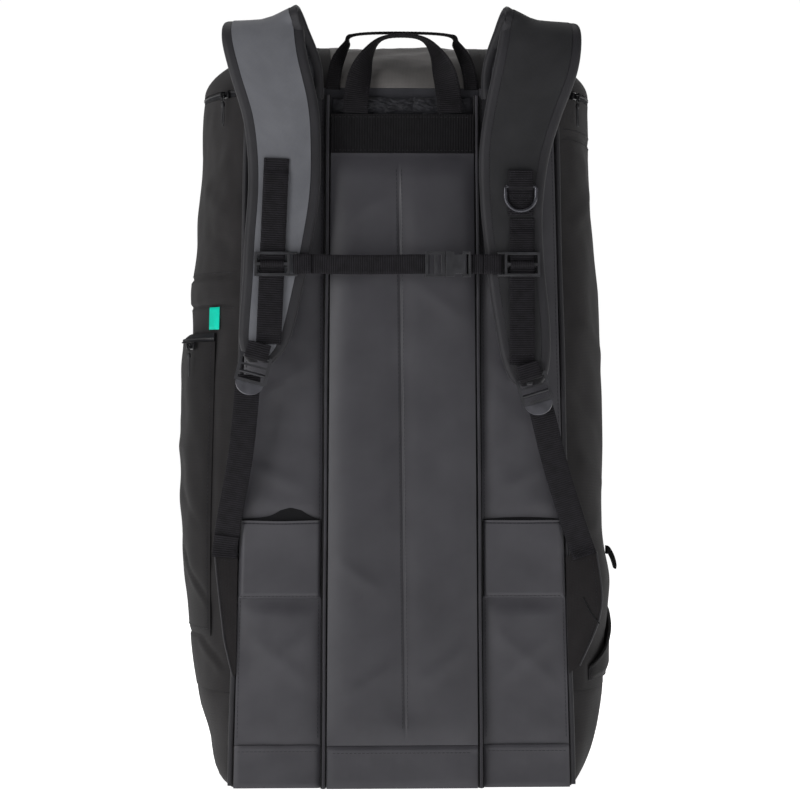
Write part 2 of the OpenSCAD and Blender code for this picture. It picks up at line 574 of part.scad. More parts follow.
// side release buckle, lying along x
buckle_h = sternum_w + 5;
arm_root_z = 7.2;
arm_len = 16;
module buckle_part(x) { translate([x, sternum_y, chest_z]) children(); }
module buckle_male() {
  half = buckle_h / 2;
  len = buckle_x - male_x;
  color("#2b2b2d") buckle_part(male_x) {
    difference() {
      translate([0, -3, -half]) cube([len - gap, 6, buckle_h]);
      translate([3, -4, 3 - half]) cube([6, 8, buckle_h - 6]);
      translate([12, -4, 3 - half]) cube([3.5, 8, buckle_h - 6]);
      translate([-1, -web_t / 2 - gap, -sternum_w / 2]) cube([6, web_t + 2 * gap, sternum_w]);
    }
    translate([len - 1, -1.4, -2]) cube([arm_len + 2, 2.8, 4]);
  }
}
module buckle_arm(up) {
  color("#2b2b2d") buckle_part(buckle_x) mirror([0, 0, up > 0 ? 0 : 1]) translate([0, 1.6, 0]) rotate([90, 0, 0])
    linear_extrude(3.2) polygon([[0.4, arm_root_z - 1.6], [0.4, arm_root_z + 1], [6, 8], [11, 9.4], [13.2, 10.1],
      [15, 9.2], [arm_len, 6.2], [13.5, 6.6], [6, 5.6]]);
}
// cavity narrows towards the mouth, so the arms are pressed together as the male half is drawn out
module buckle_female() {
  len = female_x - buckle_x;
  half = buckle_h / 2;
  color("#2b2b2d") buckle_part(buckle_x) difference() {
    translate([0, -4.4, -half]) cube([len, 8.8, buckle_h]);
    translate([0, 2, 0]) rotate([90, 0, 0]) linear_extrude(4)
      polygon([[-1, -9], [0, -9], [13, -10.6], [17.5, -10.6], [17.5, 10.6], [13, 10.6], [0, 9], [-1, 9]]);
    for (s = [0, 1]) mirror([0, 0, s]) translate([9, -5, 9.4]) cube([7.5, 10, 4]);
    translate([len - 5.4, -5, 2.5 - half]) cube([3, 10, buckle_h - 5]);
    translate([len - 4, -web_t / 2 - gap, -sternum_w / 2]) cube([5, web_t + 2 * gap, sternum_w]);
  }
}

// ---- zip sliders and pulls ----
// seat on a surface: own x runs level along it, own y points up, own z points out of the bag
module seat(p, z, turn) { translate([p[0], p[1], z]) rotate([90, 0, turn]) children(); }
module side_seat(z, t0, t1, off) {
  p = side_xy(z, t0, -off);
  q = side_xy(z, t1, -off);
  seat(p, z, atan2(q[1] - p[1], q[0] - p[0])) children();
}
pin_z = 5.0;                                // height of the pull's pin over the zip
module slider_body(upright) {
  rotate([0, 0, upright ? 90 : 0]) hull() {
    translate([-6, -3.6, 0]) cube([12, 7.2, 2]);
    translate([-4, -2.5, 2.8]) cube([8, 5, 0.2]);
  }
  difference() {
    translate([-1.2, -3, 2]) cube([2.4, 6, pin_z + 0.3]);
    translate([-2, 0, pin_z]) rotate([0, 90, 0]) cylinder(r = 1.1, h = 4);
  }
}
pull_len = 31;                              // length of a zip pull
module pull_body() {
  translate([-3, 0, pin_z]) rotate([0, 90, 0]) cylinder(r = 0.8, h = 6);
  for (s = [-1, 1]) translate([s * 2.3 - 0.7, -6.5, pin_z - 1.3]) cube([1.4, 7.6, 2.6]);
  translate([0, -5, pin_z]) rotate([90, 0, 0]) cylinder(r = 2.2, h = pull_len - 5);
}
module top_seat() { side_seat(side_top + 2.9, 0.1, 0.18, 1) children(); }
module pocket_seat() { left_of() side_seat(pocket_mouth - 4, 0.2, 0.24, 2.1 + pocket_deep) children(); }
module front_seat() { seat([frame_in - 4.4, y_front + 0.6], brow_z - 20, 180) children(); }
module left_zip_slider() { color("#1a1a1c") left_of() top_seat() slider_body(false); }
module left_zip_pull() { color("#1a1a1c") left_of() top_seat() pull_body(); }
module right_zip_slider() { color("#1a1a1c") top_seat() slider_body(false); }
module right_zip_pull() { color("#1a1a1c") top_seat() pull_body(); }
module pocket_zip_slider() { color("#1a1a1c") pocket_seat() slider_body(false); }
module pocket_zip_pull() { color("#1a1a1c") pocket_seat() pull_body(); }
module front_zip_slider() { color("#1a1a1c") front_seat() slider_body(true); }
module front_zip_pull() { color("#1a1a1c") front_seat() pull_body(); }

base_floor();
base_wall();
base_boards();
centre_hem();
back_wall_centre();
back_pocket_panel();
left_of() back_panel();  // left_back_panel
back_panel();  // right_back_panel
upright_pipings();
seam_cords();
dividers();
zip_frames();
top_panel();
left_of() shoulder_panel();  // left_shoulder_panel
shoulder_panel();  // right_shoulder_panel
front_cover();
front_cover_zip();
left_of() side_panel();  // left_side_panel
side_panel();  // right_side_panel
left_of() side_zip();  // left_side_zip
side_zip();  // right_side_zip
left_side_pocket();
right_side_pocket();
pocket_zip();
accent_tag();
right_pull_tab();
left_of() sleeve();  // left_sleeve
sleeve();  // right_sleeve
webbing_band();
inner_handle();
outer_handle();
left_of() strap_pad(strap_left);  // left_strap_pad
strap_pad(strap_right);  // right_strap_pad
left_of() strap_face(strap_left, "#626368");  // left_strap_face
strap_face(strap_right, "#2c2c2e");  // right_strap_face
left_rail_webbing();
right_rail_webbing();
d_ring_loop();
d_ring();
ladder_lock(lock_left, "#2b2b2d");  // left_ladder_lock
ladder_lock(lock_right, "#2b2b2d");  // right_ladder_lock
lower_webbing(lower_left);  // left_lower_webbing
lower_webbing(lower_right);  // right_lower_webbing
strap_wings();
sternum_slider(rail_left_x, 1);  // left_sternum_slider
sternum_slider(rail_right_x, -1);  // right_sternum_slider
left_sternum_webbing();
right_sternum_webbing();
buckle_male();
buckle_arm(1);  // buckle_upper_arm
buckle_arm(-1);  // buckle_lower_arm
buckle_female();
left_zip_slider();
left_zip_pull();
right_zip_slider();
right_zip_pull();
pocket_zip_slider();
pocket_zip_pull();
front_zip_slider();
front_zip_pull();
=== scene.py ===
import math
import bmesh
import bpy
import mathutils
import numpy as np
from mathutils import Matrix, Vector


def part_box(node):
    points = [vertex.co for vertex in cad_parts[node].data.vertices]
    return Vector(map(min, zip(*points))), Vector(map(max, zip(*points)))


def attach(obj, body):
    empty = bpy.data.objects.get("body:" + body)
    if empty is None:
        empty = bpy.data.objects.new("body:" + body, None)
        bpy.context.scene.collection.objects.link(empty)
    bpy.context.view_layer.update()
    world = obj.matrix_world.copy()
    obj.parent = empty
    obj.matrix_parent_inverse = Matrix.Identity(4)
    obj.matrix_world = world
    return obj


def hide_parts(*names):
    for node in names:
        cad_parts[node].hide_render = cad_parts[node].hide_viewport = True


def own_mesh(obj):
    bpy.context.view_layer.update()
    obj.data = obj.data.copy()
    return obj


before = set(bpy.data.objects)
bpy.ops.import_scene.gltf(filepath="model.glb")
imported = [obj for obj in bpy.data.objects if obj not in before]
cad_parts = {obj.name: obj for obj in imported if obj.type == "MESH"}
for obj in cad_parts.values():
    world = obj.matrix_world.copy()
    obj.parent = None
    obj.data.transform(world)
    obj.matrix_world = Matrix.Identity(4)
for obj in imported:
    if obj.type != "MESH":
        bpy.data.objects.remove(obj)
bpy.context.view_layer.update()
print("frame loaded")

def linearColour(hexText):
    # sRGB hex to linear: below 0.04045 divide by 12.92, above raise to the power 2.4
    parts = [int(hexText[i:i + 2], 16) / 255 for i in (1, 3, 5)]
    return tuple(p / 12.92 if p <= 0.04045 else ((p + 0.055) / 1.055) ** 2.4 for p in parts) + (1,)

def addNode(tree, kind, settings=None, links=None):
    # adds one node, sets its properties and input values, and joins inputs to other nodes' outputs
    node = tree.nodes.new(kind)
    for key, value in (settings or {}).items():
        if isinstance(key, str) and hasattr(node, key):
            setattr(node, key, value)
        else:
            node.inputs[key].default_value = value
    for key, (source, output) in (links or {}).items():
        tree.links.new(source.outputs[output], node.inputs[key])
    return node

def startMaterial(name, settings):
    mat = bpy.data.materials.new(name)
    mat.use_nodes = True
    tree = mat.node_tree
    tree.nodes.clear()
    shader = addNode(tree, "ShaderNodeBsdfPrincipled", settings)
    out = addNode(tree, "ShaderNodeOutputMaterial", None, {"Surface": (shader, "BSDF")})
    out.location = (600, 0)
    return mat, tree, shader

def waveScale(pitchMm):
    # a band wave repeats every 0.314 / scale of its own units, and the UV map is in millimetres
    return 0.31416 / pitchMm

def placeInMm(tree, onPiece):
    # the piece's own cloth map, which is in millimetres, or its position turned into millimetres
    if not onPiece:
        return addNode(tree, "ShaderNodeUVMap", {"uv_map": "clothMm"}), "UV"
    spot = addNode(tree, "ShaderNodeTexCoord")
    return addNode(tree, "ShaderNodeMapping", {"Scale": (1000, 1000, 1000)}, {"Vector": (spot, "Object")}), "Vector"

def clothMaterial(name, dark, light, roughness, weaveMm, blotchMm, sheen, bumpMm=0.12, coat=0.0, onPiece=False):
    # plain weave: product of two sine bands across and along the cloth, with slow blotches of tone
    mat, tree, shader = startMaterial(name, {"Roughness": roughness, "Sheen Weight": sheen,
        "Sheen Roughness": 0.5, "Coat Weight": coat, "Coat Roughness": 0.45, "Specular IOR Level": 0.35 if coat else 0.16})
    place = placeInMm(tree, onPiece)
    across = addNode(tree, "ShaderNodeTexWave", {"bands_direction": "X", "Scale": waveScale(weaveMm)}, {"Vector": place})
    along = addNode(tree, "ShaderNodeTexWave", {"bands_direction": "Z" if onPiece else "Y", "Scale": waveScale(weaveMm)}, {"Vector": place})
    weave = addNode(tree, "ShaderNodeMath", {"operation": "MULTIPLY"}, {0: (across, "Fac"), 1: (along, "Fac")})
    blotch = addNode(tree, "ShaderNodeTexNoise", {"Scale": 1 / blotchMm, "Detail": 4.0, "Roughness": 0.6}, {"Vector": place})
    fuzz = addNode(tree, "ShaderNodeTexNoise", {"Scale": 0.9 / weaveMm, "Detail": 2.0}, {"Vector": place})
    tone = addNode(tree, "ShaderNodeMath", {"operation": "MULTIPLY_ADD", 1: 0.35}, {0: (weave, "Value"), 2: (blotch, "Fac")})
    ramp = addNode(tree, "ShaderNodeValToRGB", None, {"Fac": (tone, "Value")})
    ramp.color_ramp.elements[0].position = 0.3
    ramp.color_ramp.elements[0].color = linearColour(dark)
    ramp.color_ramp.elements[1].position = 0.9
    ramp.color_ramp.elements[1].color = linearColour(light)
    tree.links.new(ramp.outputs["Color"], shader.inputs["Base Color"])
    height = addNode(tree, "ShaderNodeMath", {"operation": "MULTIPLY_ADD", 1: 0.5}, {0: (fuzz, "Fac"), 2: (weave, "Value")})
    bump = addNode(tree, "ShaderNodeBump", {"Strength": 0.55, "Distance": bumpMm * 0.001}, {"Height": (height, "Value")})
    tree.links.new(bump.outputs["Normal"], shader.inputs["Normal"])
    return mat

def tapeMaterial(name, dark, light, ribMm, ribDirection, roughness=0.62, yarnMm=1.4, depthMm=0.35):
    # ribbed webbing: strong sine ribs one way, fine yarns the other, a lighter tone on the rib crests and a darker one
    # between them
    mat, tree, shader = startMaterial(name, {"Roughness": roughness, "Sheen Weight": 0.03,
        "Sheen Roughness": 0.4, "Specular IOR Level": 0.14})
    uv = addNode(tree, "ShaderNodeUVMap", {"uv_map": "clothMm"})
    other = "X" if ribDirection == "Y" else "Y"
    rib = addNode(tree, "ShaderNodeTexWave", {"bands_direction": ribDirection, "Scale": waveScale(ribMm), "Distortion": 0.15}, {"Vector": (uv, "UV")})
    yarn = addNode(tree, "ShaderNodeTexWave", {"bands_direction": other, "Scale": waveScale(yarnMm)}, {"Vector": (uv, "UV")})
    noise = addNode(tree, "ShaderNodeTexNoise", {"Scale": 0.12, "Detail": 3.0}, {"Vector": (uv, "UV")})
    mixed = addNode(tree, "ShaderNodeMath", {"operation": "MULTIPLY_ADD", 1: 0.3}, {0: (yarn, "Fac"), 2: (rib, "Fac")})
    tone = addNode(tree, "ShaderNodeMath", {"operation": "MULTIPLY"}, {0: (mixed, "Value"), 1: (noise, "Fac")})
    ramp = addNode(tree, "ShaderNodeValToRGB", None, {"Fac": (tone, "Value")})
    ramp.color_ramp.elements[0].position = 0.1
    ramp.color_ramp.elements[0].color = linearColour(dark)
    ramp.color_ramp.elements[1].position = 0.65
    ramp.color_ramp.elements[1].color = linearColour(light)
    tree.links.new(ramp.outputs["Color"], shader.inputs["Base Color"])
    bump = addNode(tree, "ShaderNodeBump", {"Strength": 0.7, "Distance": depthMm * 0.001}, {"Height": (mixed, "Value")})
    tree.links.new(bump.outputs["Normal"], shader.inputs["Normal"])
    return mat

def meshMaterial(name, dark, light, holeMm, onPiece=True):
    # spacer mesh: rounded cells with darker holes between the knitted threads
    mat, tree, shader = startMaterial(name, {"Roughness": 0.85, "Sheen Weight": 0.25, "Specular IOR Level": 0.2})
    cells = addNode(tree, "ShaderNodeTexVoronoi", {"Scale": 1 / holeMm, "Randomness": 0.25}, {"Vector": placeInMm(tree, onPiece)})
    ramp = addNode(tree, "ShaderNodeValToRGB", None, {"Fac": (cells, "Distance")})
    ramp.color_ramp.elements[0].position = 0.15
    ramp.color_ramp.elements[0].color = linearColour(dark)
    ramp.color_ramp.elements[1].position = 0.55
    ramp.color_ramp.elements[1].color = linearColour(light)
    tree.links.new(ramp.outputs["Color"], shader.inputs["Base Color"])
    bump = addNode(tree, "ShaderNodeBump", {"Strength": 0.8, "Distance": 0.0005}, {"Height": (cells, "Distance")})
    tree.links.new(bump.outputs["Normal"], shader.inputs["Normal"])
    return mat

def mouldedMaterial(name, dark, light, roughness, grainMm=0.6, metallic=0.0, gloss=0.5):
    # moulded or enamelled part: fine spark texture in the gloss and a slight change of tone
    mat, tree, shader = startMaterial(name, {"Metallic": metallic, "Specular IOR Level": gloss})
    spot = addNode(tree, "ShaderNodeTexCoord")
    grain = addNode(tree, "ShaderNodeTexNoise", {"Scale": 1000 / grainMm, "Detail": 2.0}, {"Vector": (spot, "Object")})
    slow = addNode(tree, "ShaderNodeTexNoise", {"Scale": 90.0, "Detail": 3.0}, {"Vector": (spot, "Object")})
    ramp = addNode(tree, "ShaderNodeValToRGB", None, {"Fac": (slow, "Fac")})
    ramp.color_ramp.elements[0].position = 0.35
    ramp.color_ramp.elements[0].color = linearColour(dark)
    ramp.color_ramp.elements[1].position = 0.7
    ramp.color_ramp.elements[1].color = linearColour(light)
    tree.links.new(ramp.outputs["Color"], shader.inputs["Base Color"])
    rough = addNode(tree, "ShaderNodeMath", {"operation": "MULTIPLY_ADD", 1: 0.18, 2: roughness - 0.09}, {0: (slow, "Fac")})
    tree.links.new(rough.outputs["Value"], shader.inputs["Roughness"])
    bump = addNode(tree, "ShaderNodeBump", {"Strength": 0.25, "Distance": 0.00012}, {"Height": (grain, "Fac")})
    tree.links.new(bump.outputs["Normal"], shader.inputs["Normal"])
    return mat

mats = {
    # polyurethane-coated polyester: smooth, a broad soft sheen
    "coatedBack": clothMaterial("coatedPolyesterBack", "#2c2b30", "#3d3c41", 0.46, 1.1, 90, 0.1, 0.07, 0.1),
    "coatedSide": clothMaterial("coatedPolyesterSideBack", "#302f34", "#414045", 0.5, 1.1, 70, 0.1, 0.07, 0.08),
    # 600 denier woven polyester of the body: matte with a visible grain
    "bodyCloth": clothMaterial("wovenPolyesterBody", "#171516", "#272526", 0.85, 1.5, 60, 0.06, 0.16),
    "pocketCloth": clothMaterial("wovenPolyesterPocket", "#151415", "#242223", 0.85, 1.5, 60, 0.06, 0.16),
    "crownCloth": clothMaterial("wovenPolyesterCrown", "#504e4d", "#686564", 0.8, 1.4, 40, 0.12, 0.16),
    "liningCloth": clothMaterial("nylonTaffetaLining", "#17171a", "#2c2c31", 0.5, 1.0, 30, 0.1, 0.1),
    "strapGrey": clothMaterial("smoothPolyesterGrey", "#56575c", "#6b6c71", 0.6, 1.2, 60, 0.15, 0.1),
    "strapBlack": clothMaterial("smoothPolyesterBlack", "#1d1d1f", "#2d2d2f", 0.6, 1.2, 60, 0.12, 0.1),
    # 3 mm spacer mesh under the shoulder pads
    "airMesh": meshMaterial("polyesterSpacerMesh", "#1d1d20", "#3a3a3e", 2.6),
    # ribbed nylon webbing, 25 mm and 20 mm
    "webbing": tapeMaterial("nylonWebbing", "#0a090b", "#201e23", 2.2, "Y"),
    "bandWebbing": tapeMaterial("nylonBandWebbing", "#040305", "#111013", 2.6, "X"),
    "handleWebbing": tapeMaterial("nylonHandleWebbing", "#080709", "#1b191d", 2.0, "Y"),
    "binding": clothMaterial("polyesterBindingTape", "#141317", "#222126", 0.62, 0.9, 40, 0.1, 0.08, 0.05),
    "pipingCloth": clothMaterial("polyesterPipingCover", "#29282c", "#3a393e", 0.6, 0.9, 40, 0.2, 0.06),
    # near-black cloth for the sheets in the sleeve mouths: painted shade
    "sleeveLining": clothMaterial("blackSleeveLining", "#0b0b0d", "#19191c", 0.75, 1.0, 40, 0.05, 0.06),
    "gussetCloth": clothMaterial("blackGussetCloth", "#0c0c0e", "#161618", 0.8, 1.0, 40, 0.1, 0.06),
    "zipTape": tapeMaterial("polyesterZipTape", "#101012", "#26262a", 1.6, "X", 0.7, 1.2, 0.15),
    "thread": tapeMaterial("bondedNylonThread", "#1a191c", "#45444a", 0.8, "Y", 0.5, 0.6, 0.1),
    "coil": mouldedMaterial("nylonZipCoil", "#151517", "#242427", 0.42),
    # satin acetal of the buckles, ladder locks and sliders
    "acetal": mouldedMaterial("blackAcetal", "#1c1c1f", "#2d2d31", 0.36),
    # lighter grey copy of the acetal for the ladder locks' thumb tabs: painted highlight
    "tabHighlightAcetal": mouldedMaterial("paintedHighlightTab", "#45454a", "#58585e", 0.42),
    "enamel": mouldedMaterial("blackEnamelZinc", "#131315", "#232326", 0.3, 0.6, 0.4),
    # lighter copy of the black enamel for the glossy black D ring: painted highlight
    "ringHighlightEnamel": mouldedMaterial("paintedHighlightRing", "#2e2e33", "#505057", 0.26, 0.5, 0.5, 0.6),
    "rubber": mouldedMaterial("softPvcPull", "#17171a", "#2a2a2d", 0.6),
    "tealRubber": mouldedMaterial("tealSiliconeTag", "#08c2a6", "#10d2b6", 0.6, 0.6, 0.0, 0.12),
    "boardCloth": clothMaterial("boardLiningCloth", "#232327", "#36363b", 0.65, 1.1, 40, 0.2, 0.1, 0.0, True),
    "boardPlastic": mouldedMaterial("polypropyleneBoard", "#1b1b1e", "#2a2a2d", 0.55),
}
print("materials made")

def unit(v):
    return v / np.maximum(np.linalg.norm(v, axis=-1, keepdims=True), 1e-9)

def makeMesh(name, points, faceSets, uvMm, matKey, body, sharpDeg=35, level=0):
    # points in mm; faceSets is a list of (n, k) index arrays; uvMm is per point, or per corner in a list like faceSets
    mesh = bpy.data.meshes.new(name)
    counts = np.concatenate([np.full(len(f), f.shape[1]) for f in faceSets])
    loops = np.concatenate([f.reshape(-1) for f in faceSets])
    mesh.vertices.add(len(points))
    mesh.vertices.foreach_set("co", (np.asarray(points, float) * 0.001).astype(np.float32).reshape(-1))
    mesh.loops.add(len(loops))
    mesh.loops.foreach_set("vertex_index", loops.astype(np.int32))
    mesh.polygons.add(len(counts))
    starts = np.concatenate([[0], np.cumsum(counts)[:-1]])
    mesh.polygons.foreach_set("loop_start", starts.astype(np.int32))
    mesh.polygons.foreach_set("use_smooth", np.ones(len(counts), bool))
    mesh.update(calc_edges=True)
    mesh.validate()
    layer = mesh.uv_layers.new(name="clothMm")
    flat = np.concatenate([u.reshape(-1, 2) for u in uvMm]) if isinstance(uvMm, list) else np.asarray(uvMm, float)[loops]
    layer.data.foreach_set("uv", flat.astype(np.float32).reshape(-1))
    mesh.set_sharp_from_angle(angle=math.radians(sharpDeg))
    piece = bpy.data.objects.new(name, mesh)
    bpy.context.collection.objects.link(piece)
    piece.data.materials.append(mats[matKey])
    if level:
        mod = piece.modifiers.new("smooth", "SUBSURF")
        mod.levels = mod.render_levels = level
    if body:
        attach(piece, body)
    return piece

def gridFaces(rows, cols, wrapRows=False, wrapCols=False):
    r, c = np.meshgrid(np.arange(rows if wrapRows else rows - 1), np.arange(cols if wrapCols else cols - 1), indexing="ij")
    steps = [(0, 0), (0, 1), (1, 1), (1, 0)]
    return np.stack([((r + a) % rows) * cols + (c + b) % cols for a, b in steps], -1).reshape(-1, 4)

def arcLengths(points, axis):
    # running length along one direction of a grid of points
    step = np.linalg.norm(np.diff(points, axis=axis), axis=-1)
    shape = list(step.shape); shape[axis] = 1
    return np.concatenate([np.zeros(shape), np.cumsum(step, axis=axis)], axis=axis)

def outwardVolume(points, faces):
    # signed volume of a closed quad mesh, to see whether its faces point outwards
    a, b, c, d = (points[faces[:, i]] for i in range(4))
    return (np.einsum("ij,ij->i", a, np.cross(b, c)) + np.einsum("ij,ij->i", a, np.cross(c, d))).sum()

def slab(name, outer, inner, matKey, body, sharpDeg=50, level=0):
    # closed skin between two grids of points of the same size: each row's outer and inner run form one ring
    rows, cols = outer.shape[:2]
    rings = np.concatenate([outer, inner[:, ::-1]], axis=1)
    points = rings.reshape(-1, 3)
    faces = gridFaces(rows, 2 * cols, wrapCols=True)
    j = np.arange(cols - 1)
    first = np.stack([j + 1, j, 2 * cols - 1 - j, 2 * cols - 2 - j], -1)
    last = np.stack([j, j + 1, 2 * cols - 2 - j, 2 * cols - 1 - j], -1) + (rows - 1) * 2 * cols
    allFaces = np.concatenate([faces, first, last])
    if outwardVolume(points - points.mean(0), allFaces) < 0:
        allFaces = allFaces[:, ::-1]
    across, along = arcLengths(outer, 1), arcLengths(outer, 0)
    uv = np.stack([across, along], -1)
    uv = np.concatenate([uv, uv[:, ::-1]], axis=1).reshape(-1, 2)
    return makeMesh(name, points, [allFaces], uv, matKey, body, sharpDeg, level)

def sweep(name, path, acrossDir, profile, matKey, body, widths=None, closed=False, sharpDeg=40, twistU=False, level=0):
    # profile (a, b), one or one for each point, carried along a path: a runs across it, b along its normal
    path = np.asarray(path, float)
    n, m = len(path), np.shape(profile)[-2]
    ahead = np.roll(path, -1, 0) - np.roll(path, 1, 0)
    if not closed:
        ahead[0], ahead[-1] = path[1] - path[0], path[-1] - path[-2]
    ahead = unit(ahead)
    rough = np.broadcast_to(np.asarray(acrossDir, float), path.shape)
    across = unit(rough - (rough * ahead).sum(1, keepdims=True) * ahead)
    normal = np.cross(across, ahead)
    prof = np.broadcast_to(np.asarray(profile, float), (n, m, 2)).copy()
    if widths is not None:
        prof[:, :, 0] *= np.asarray(widths, float).reshape(-1, 1)
    rings = path[:, None] + across[:, None] * prof[:, :, :1] + normal[:, None] * prof[:, :, 1:]
    points = rings.reshape(-1, 3)
    faces = gridFaces(n, m, wrapRows=closed, wrapCols=True)
    along = np.concatenate([[0], np.cumsum(np.linalg.norm(np.diff(path, axis=0), axis=1))])
    around = arcLengths(np.concatenate([prof[0], prof[0][:1]])[:, None], 0)[:, 0]
    r, c = np.divmod(faces[:, 0], m)
    top = along[-1] + np.linalg.norm(path[0] - path[-1])
    alongAll = np.concatenate([along, [top]])
    uPos = around if twistU else np.concatenate([prof[0, :, 0], prof[0, :1, 0]])
    corner = np.stack([np.stack([uPos[c + b], alongAll[r + a]], -1) for a, b in ((0, 0), (0, 1), (1, 1), (1, 0))], 1)
    sets, uvs = [faces], [corner]
    if not closed:
        for k, ring in ((0, np.arange(m)), (n - 1, np.arange(m)[::-1])):
            sets.append((ring + k * m)[None])
            uvs.append(np.stack([prof[k][ring, 0], prof[k][ring, 1] + along[k]], -1)[None])
    if outwardVolume(points - points.mean(0), faces) < 0:
        sets = [s[:, ::-1] for s in sets]
        uvs = [u[:, ::-1] for u in uvs]
    return makeMesh(name, points, sets, uvs, matKey, body, sharpDeg, level)

def flatProfile(width, thick, n=4):
    # rounded flat section: a rectangle with half-round edges
    r = thick / 2
    t = np.linspace(-math.pi / 2, math.pi / 2, n)
    right = np.stack([width / 2 - r + r * np.cos(t), r * np.sin(t)], -1)
    mid = np.stack([np.linspace(width / 2 - r, r - width / 2, 8)[1:-1], np.full(6, r)], -1)
    left = -right
    low = np.stack([np.linspace(r - width / 2, width / 2 - r, 8)[1:-1], np.full(6, -r)], -1)
    return np.concatenate([right, mid, left, low])

def roundProfile(r, n=10):
    t = np.linspace(0, 2 * math.pi, n, endpoint=False)
    return np.stack([r * np.cos(t), r * np.sin(t)], -1)

def smoothRows(rows, steps):
    # Catmull-Rom curve through rows of numbers, uniform in its parameter
    p = np.asarray(rows, float)
    padded = np.concatenate([p[:1], p, p[-1:]])
    t = (np.arange(steps) / steps)[None, :, None]
    a, b, c, d = (padded[i:len(p) - 1 + i, None] for i in range(4))
    body = 0.5 * (2 * b + (c - a) * t + (2 * a - 5 * b + 4 * c - d) * t ** 2 + (3 * b - a - 3 * c + d) * t ** 3)
    return np.concatenate([body.reshape(-1, p.shape[1]), p[-1:]])

def softNoise(x, y, sizeMm, seed):
    # sum of seven sine waves in seeded directions: smooth, between about -1 and 1
    rng = np.random.default_rng(seed)
    angle, phase, scale = rng.uniform(0, 6.28, 7), rng.uniform(0, 6.28, 7), rng.uniform(0.6, 1.7, 7)
    total = 0
    for a, p, s in zip(angle, phase, scale):
        total = total + np.sin((x * math.cos(a) + y * math.sin(a)) * 6.28 / (sizeMm * s) + p)
    return total / 3.2

def folds(x, y, creases):
    # each crease is a ridge along a line from (x0, y0) to (x1, y1): depth times a bell across it, fading at its ends
    total = 0
    for x0, y0, x1, y1, depth, width in creases:
        dx, dy = x1 - x0, y1 - y0
        size = dx * dx + dy * dy
        s = ((x - x0) * dx + (y - y0) * dy) / size
        off = np.abs((x - x0) * dy - (y - y0) * dx) / math.sqrt(size)
        fade = np.exp(-np.maximum(0, np.abs(s - 0.5) - 0.3) ** 2 * 22)
        total = total + depth * np.exp(-(off / width) ** 2) * fade
    return total

def edgeRamp(u, v, along, up, power=2.0):
    # 0 on the rim of a panel, rising to 1 inside over the given distances
    a = np.clip(np.minimum(u, along[1] - u) / along[0], 0, 1)
    b = np.clip(np.minimum(v, up[1] - v) / up[0], 0, 1)
    return (1 - (1 - a) ** power) * (1 - (1 - b) ** power)

def stitches(name, paths, body, pitch=4.0, length=2.9, radius=0.42, matKey="thread"):
    # rows of small lens-shaped stitches lying along paths; each path is (points, surface normal)
    shape = []
    for s, r in ((-0.5, 0.15), (-0.3, 0.9), (0.3, 0.9), (0.5, 0.15)):
        for k in range(4):
            a = math.pi / 4 + k * math.pi / 2
            shape.append((s * length, r * radius * math.cos(a), r * radius * math.sin(a)))
    shape = np.array(shape)
    base = np.concatenate([gridFaces(4, 4, wrapCols=True), [[3, 2, 1, 0], [12, 13, 14, 15]]])
    allPoints, allFaces, uvs, count = [], [], [], 0
    for line, normal in paths:
        line = np.asarray(line, float)
        run = np.concatenate([[0], np.cumsum(np.linalg.norm(np.diff(line, axis=0), axis=1))])
        spots = np.arange(pitch / 2, run[-1], pitch)
        if not len(spots):
            continue
        at = np.stack([np.interp(spots, run, line[:, k]) for k in range(3)], -1)
        ahead = unit(np.stack([np.interp(spots + 0.5, run, line[:, k]) - np.interp(spots - 0.5, run, line[:, k]) for k in range(3)], -1))
        up = np.broadcast_to(np.asarray(normal, float), at.shape)
        up = unit(up - (up * ahead).sum(1, keepdims=True) * ahead)
        side = np.cross(up, ahead)
        pts = at[:, None] + shape[None, :, :1] * ahead[:, None] + shape[None, :, 1:2] * side[:, None] + shape[None, :, 2:] * up[:, None]
        allPoints.append(pts.reshape(-1, 3))
        offset = (np.arange(len(spots)) * 16)[:, None, None] + count
        allFaces.append((base[None] + offset).reshape(-1, 4))
        uvs.append(np.tile(shape[:, :2], (len(spots), 1)))
        count += 16 * len(spots)
    faces = np.concatenate(allFaces)
    points = np.concatenate(allPoints)
    if outwardVolume(shape, base) < 0:
        faces = faces[:, ::-1]
    return makeMesh(name, points, [faces], np.concatenate(uvs), matKey, body)

def softened(node, name, matKey, body, width=0.35):
    # copy of a moulded CAD node with its edges rounded; the copy is merged before it is bevelled
    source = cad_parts[node]
    mesh = source.data.copy()
    mesh.name = name
    piece = bpy.data.objects.new(name, mesh)
    bpy.context.collection.objects.link(piece)
    bm = bmesh.new()
    bm.from_mesh(mesh)
    bmesh.ops.remove_doubles(bm, verts=bm.verts, dist=0.00002)
    bmesh.ops.dissolve_limit(bm, angle_limit=0.02, verts=bm.verts, edges=bm.edges)
    bm.to_mesh(mesh)
    bm.free()
    mesh.materials.clear()
    mesh.materials.append(mats[matKey])
    mesh.polygons.foreach_set("use_smooth", np.ones(len(mesh.polygons), bool))
    mod = piece.modifiers.new("round", "BEVEL")
    mod.width = width * 0.001
    mod.segments = 2
    mod.limit_method = "ANGLE"
    mod.angle_limit = math.radians(35)
    mod.harden_normals = False
    mesh.set_sharp_from_angle(angle=math.radians(60))
    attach(piece, body)
    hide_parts(node)
    return piece

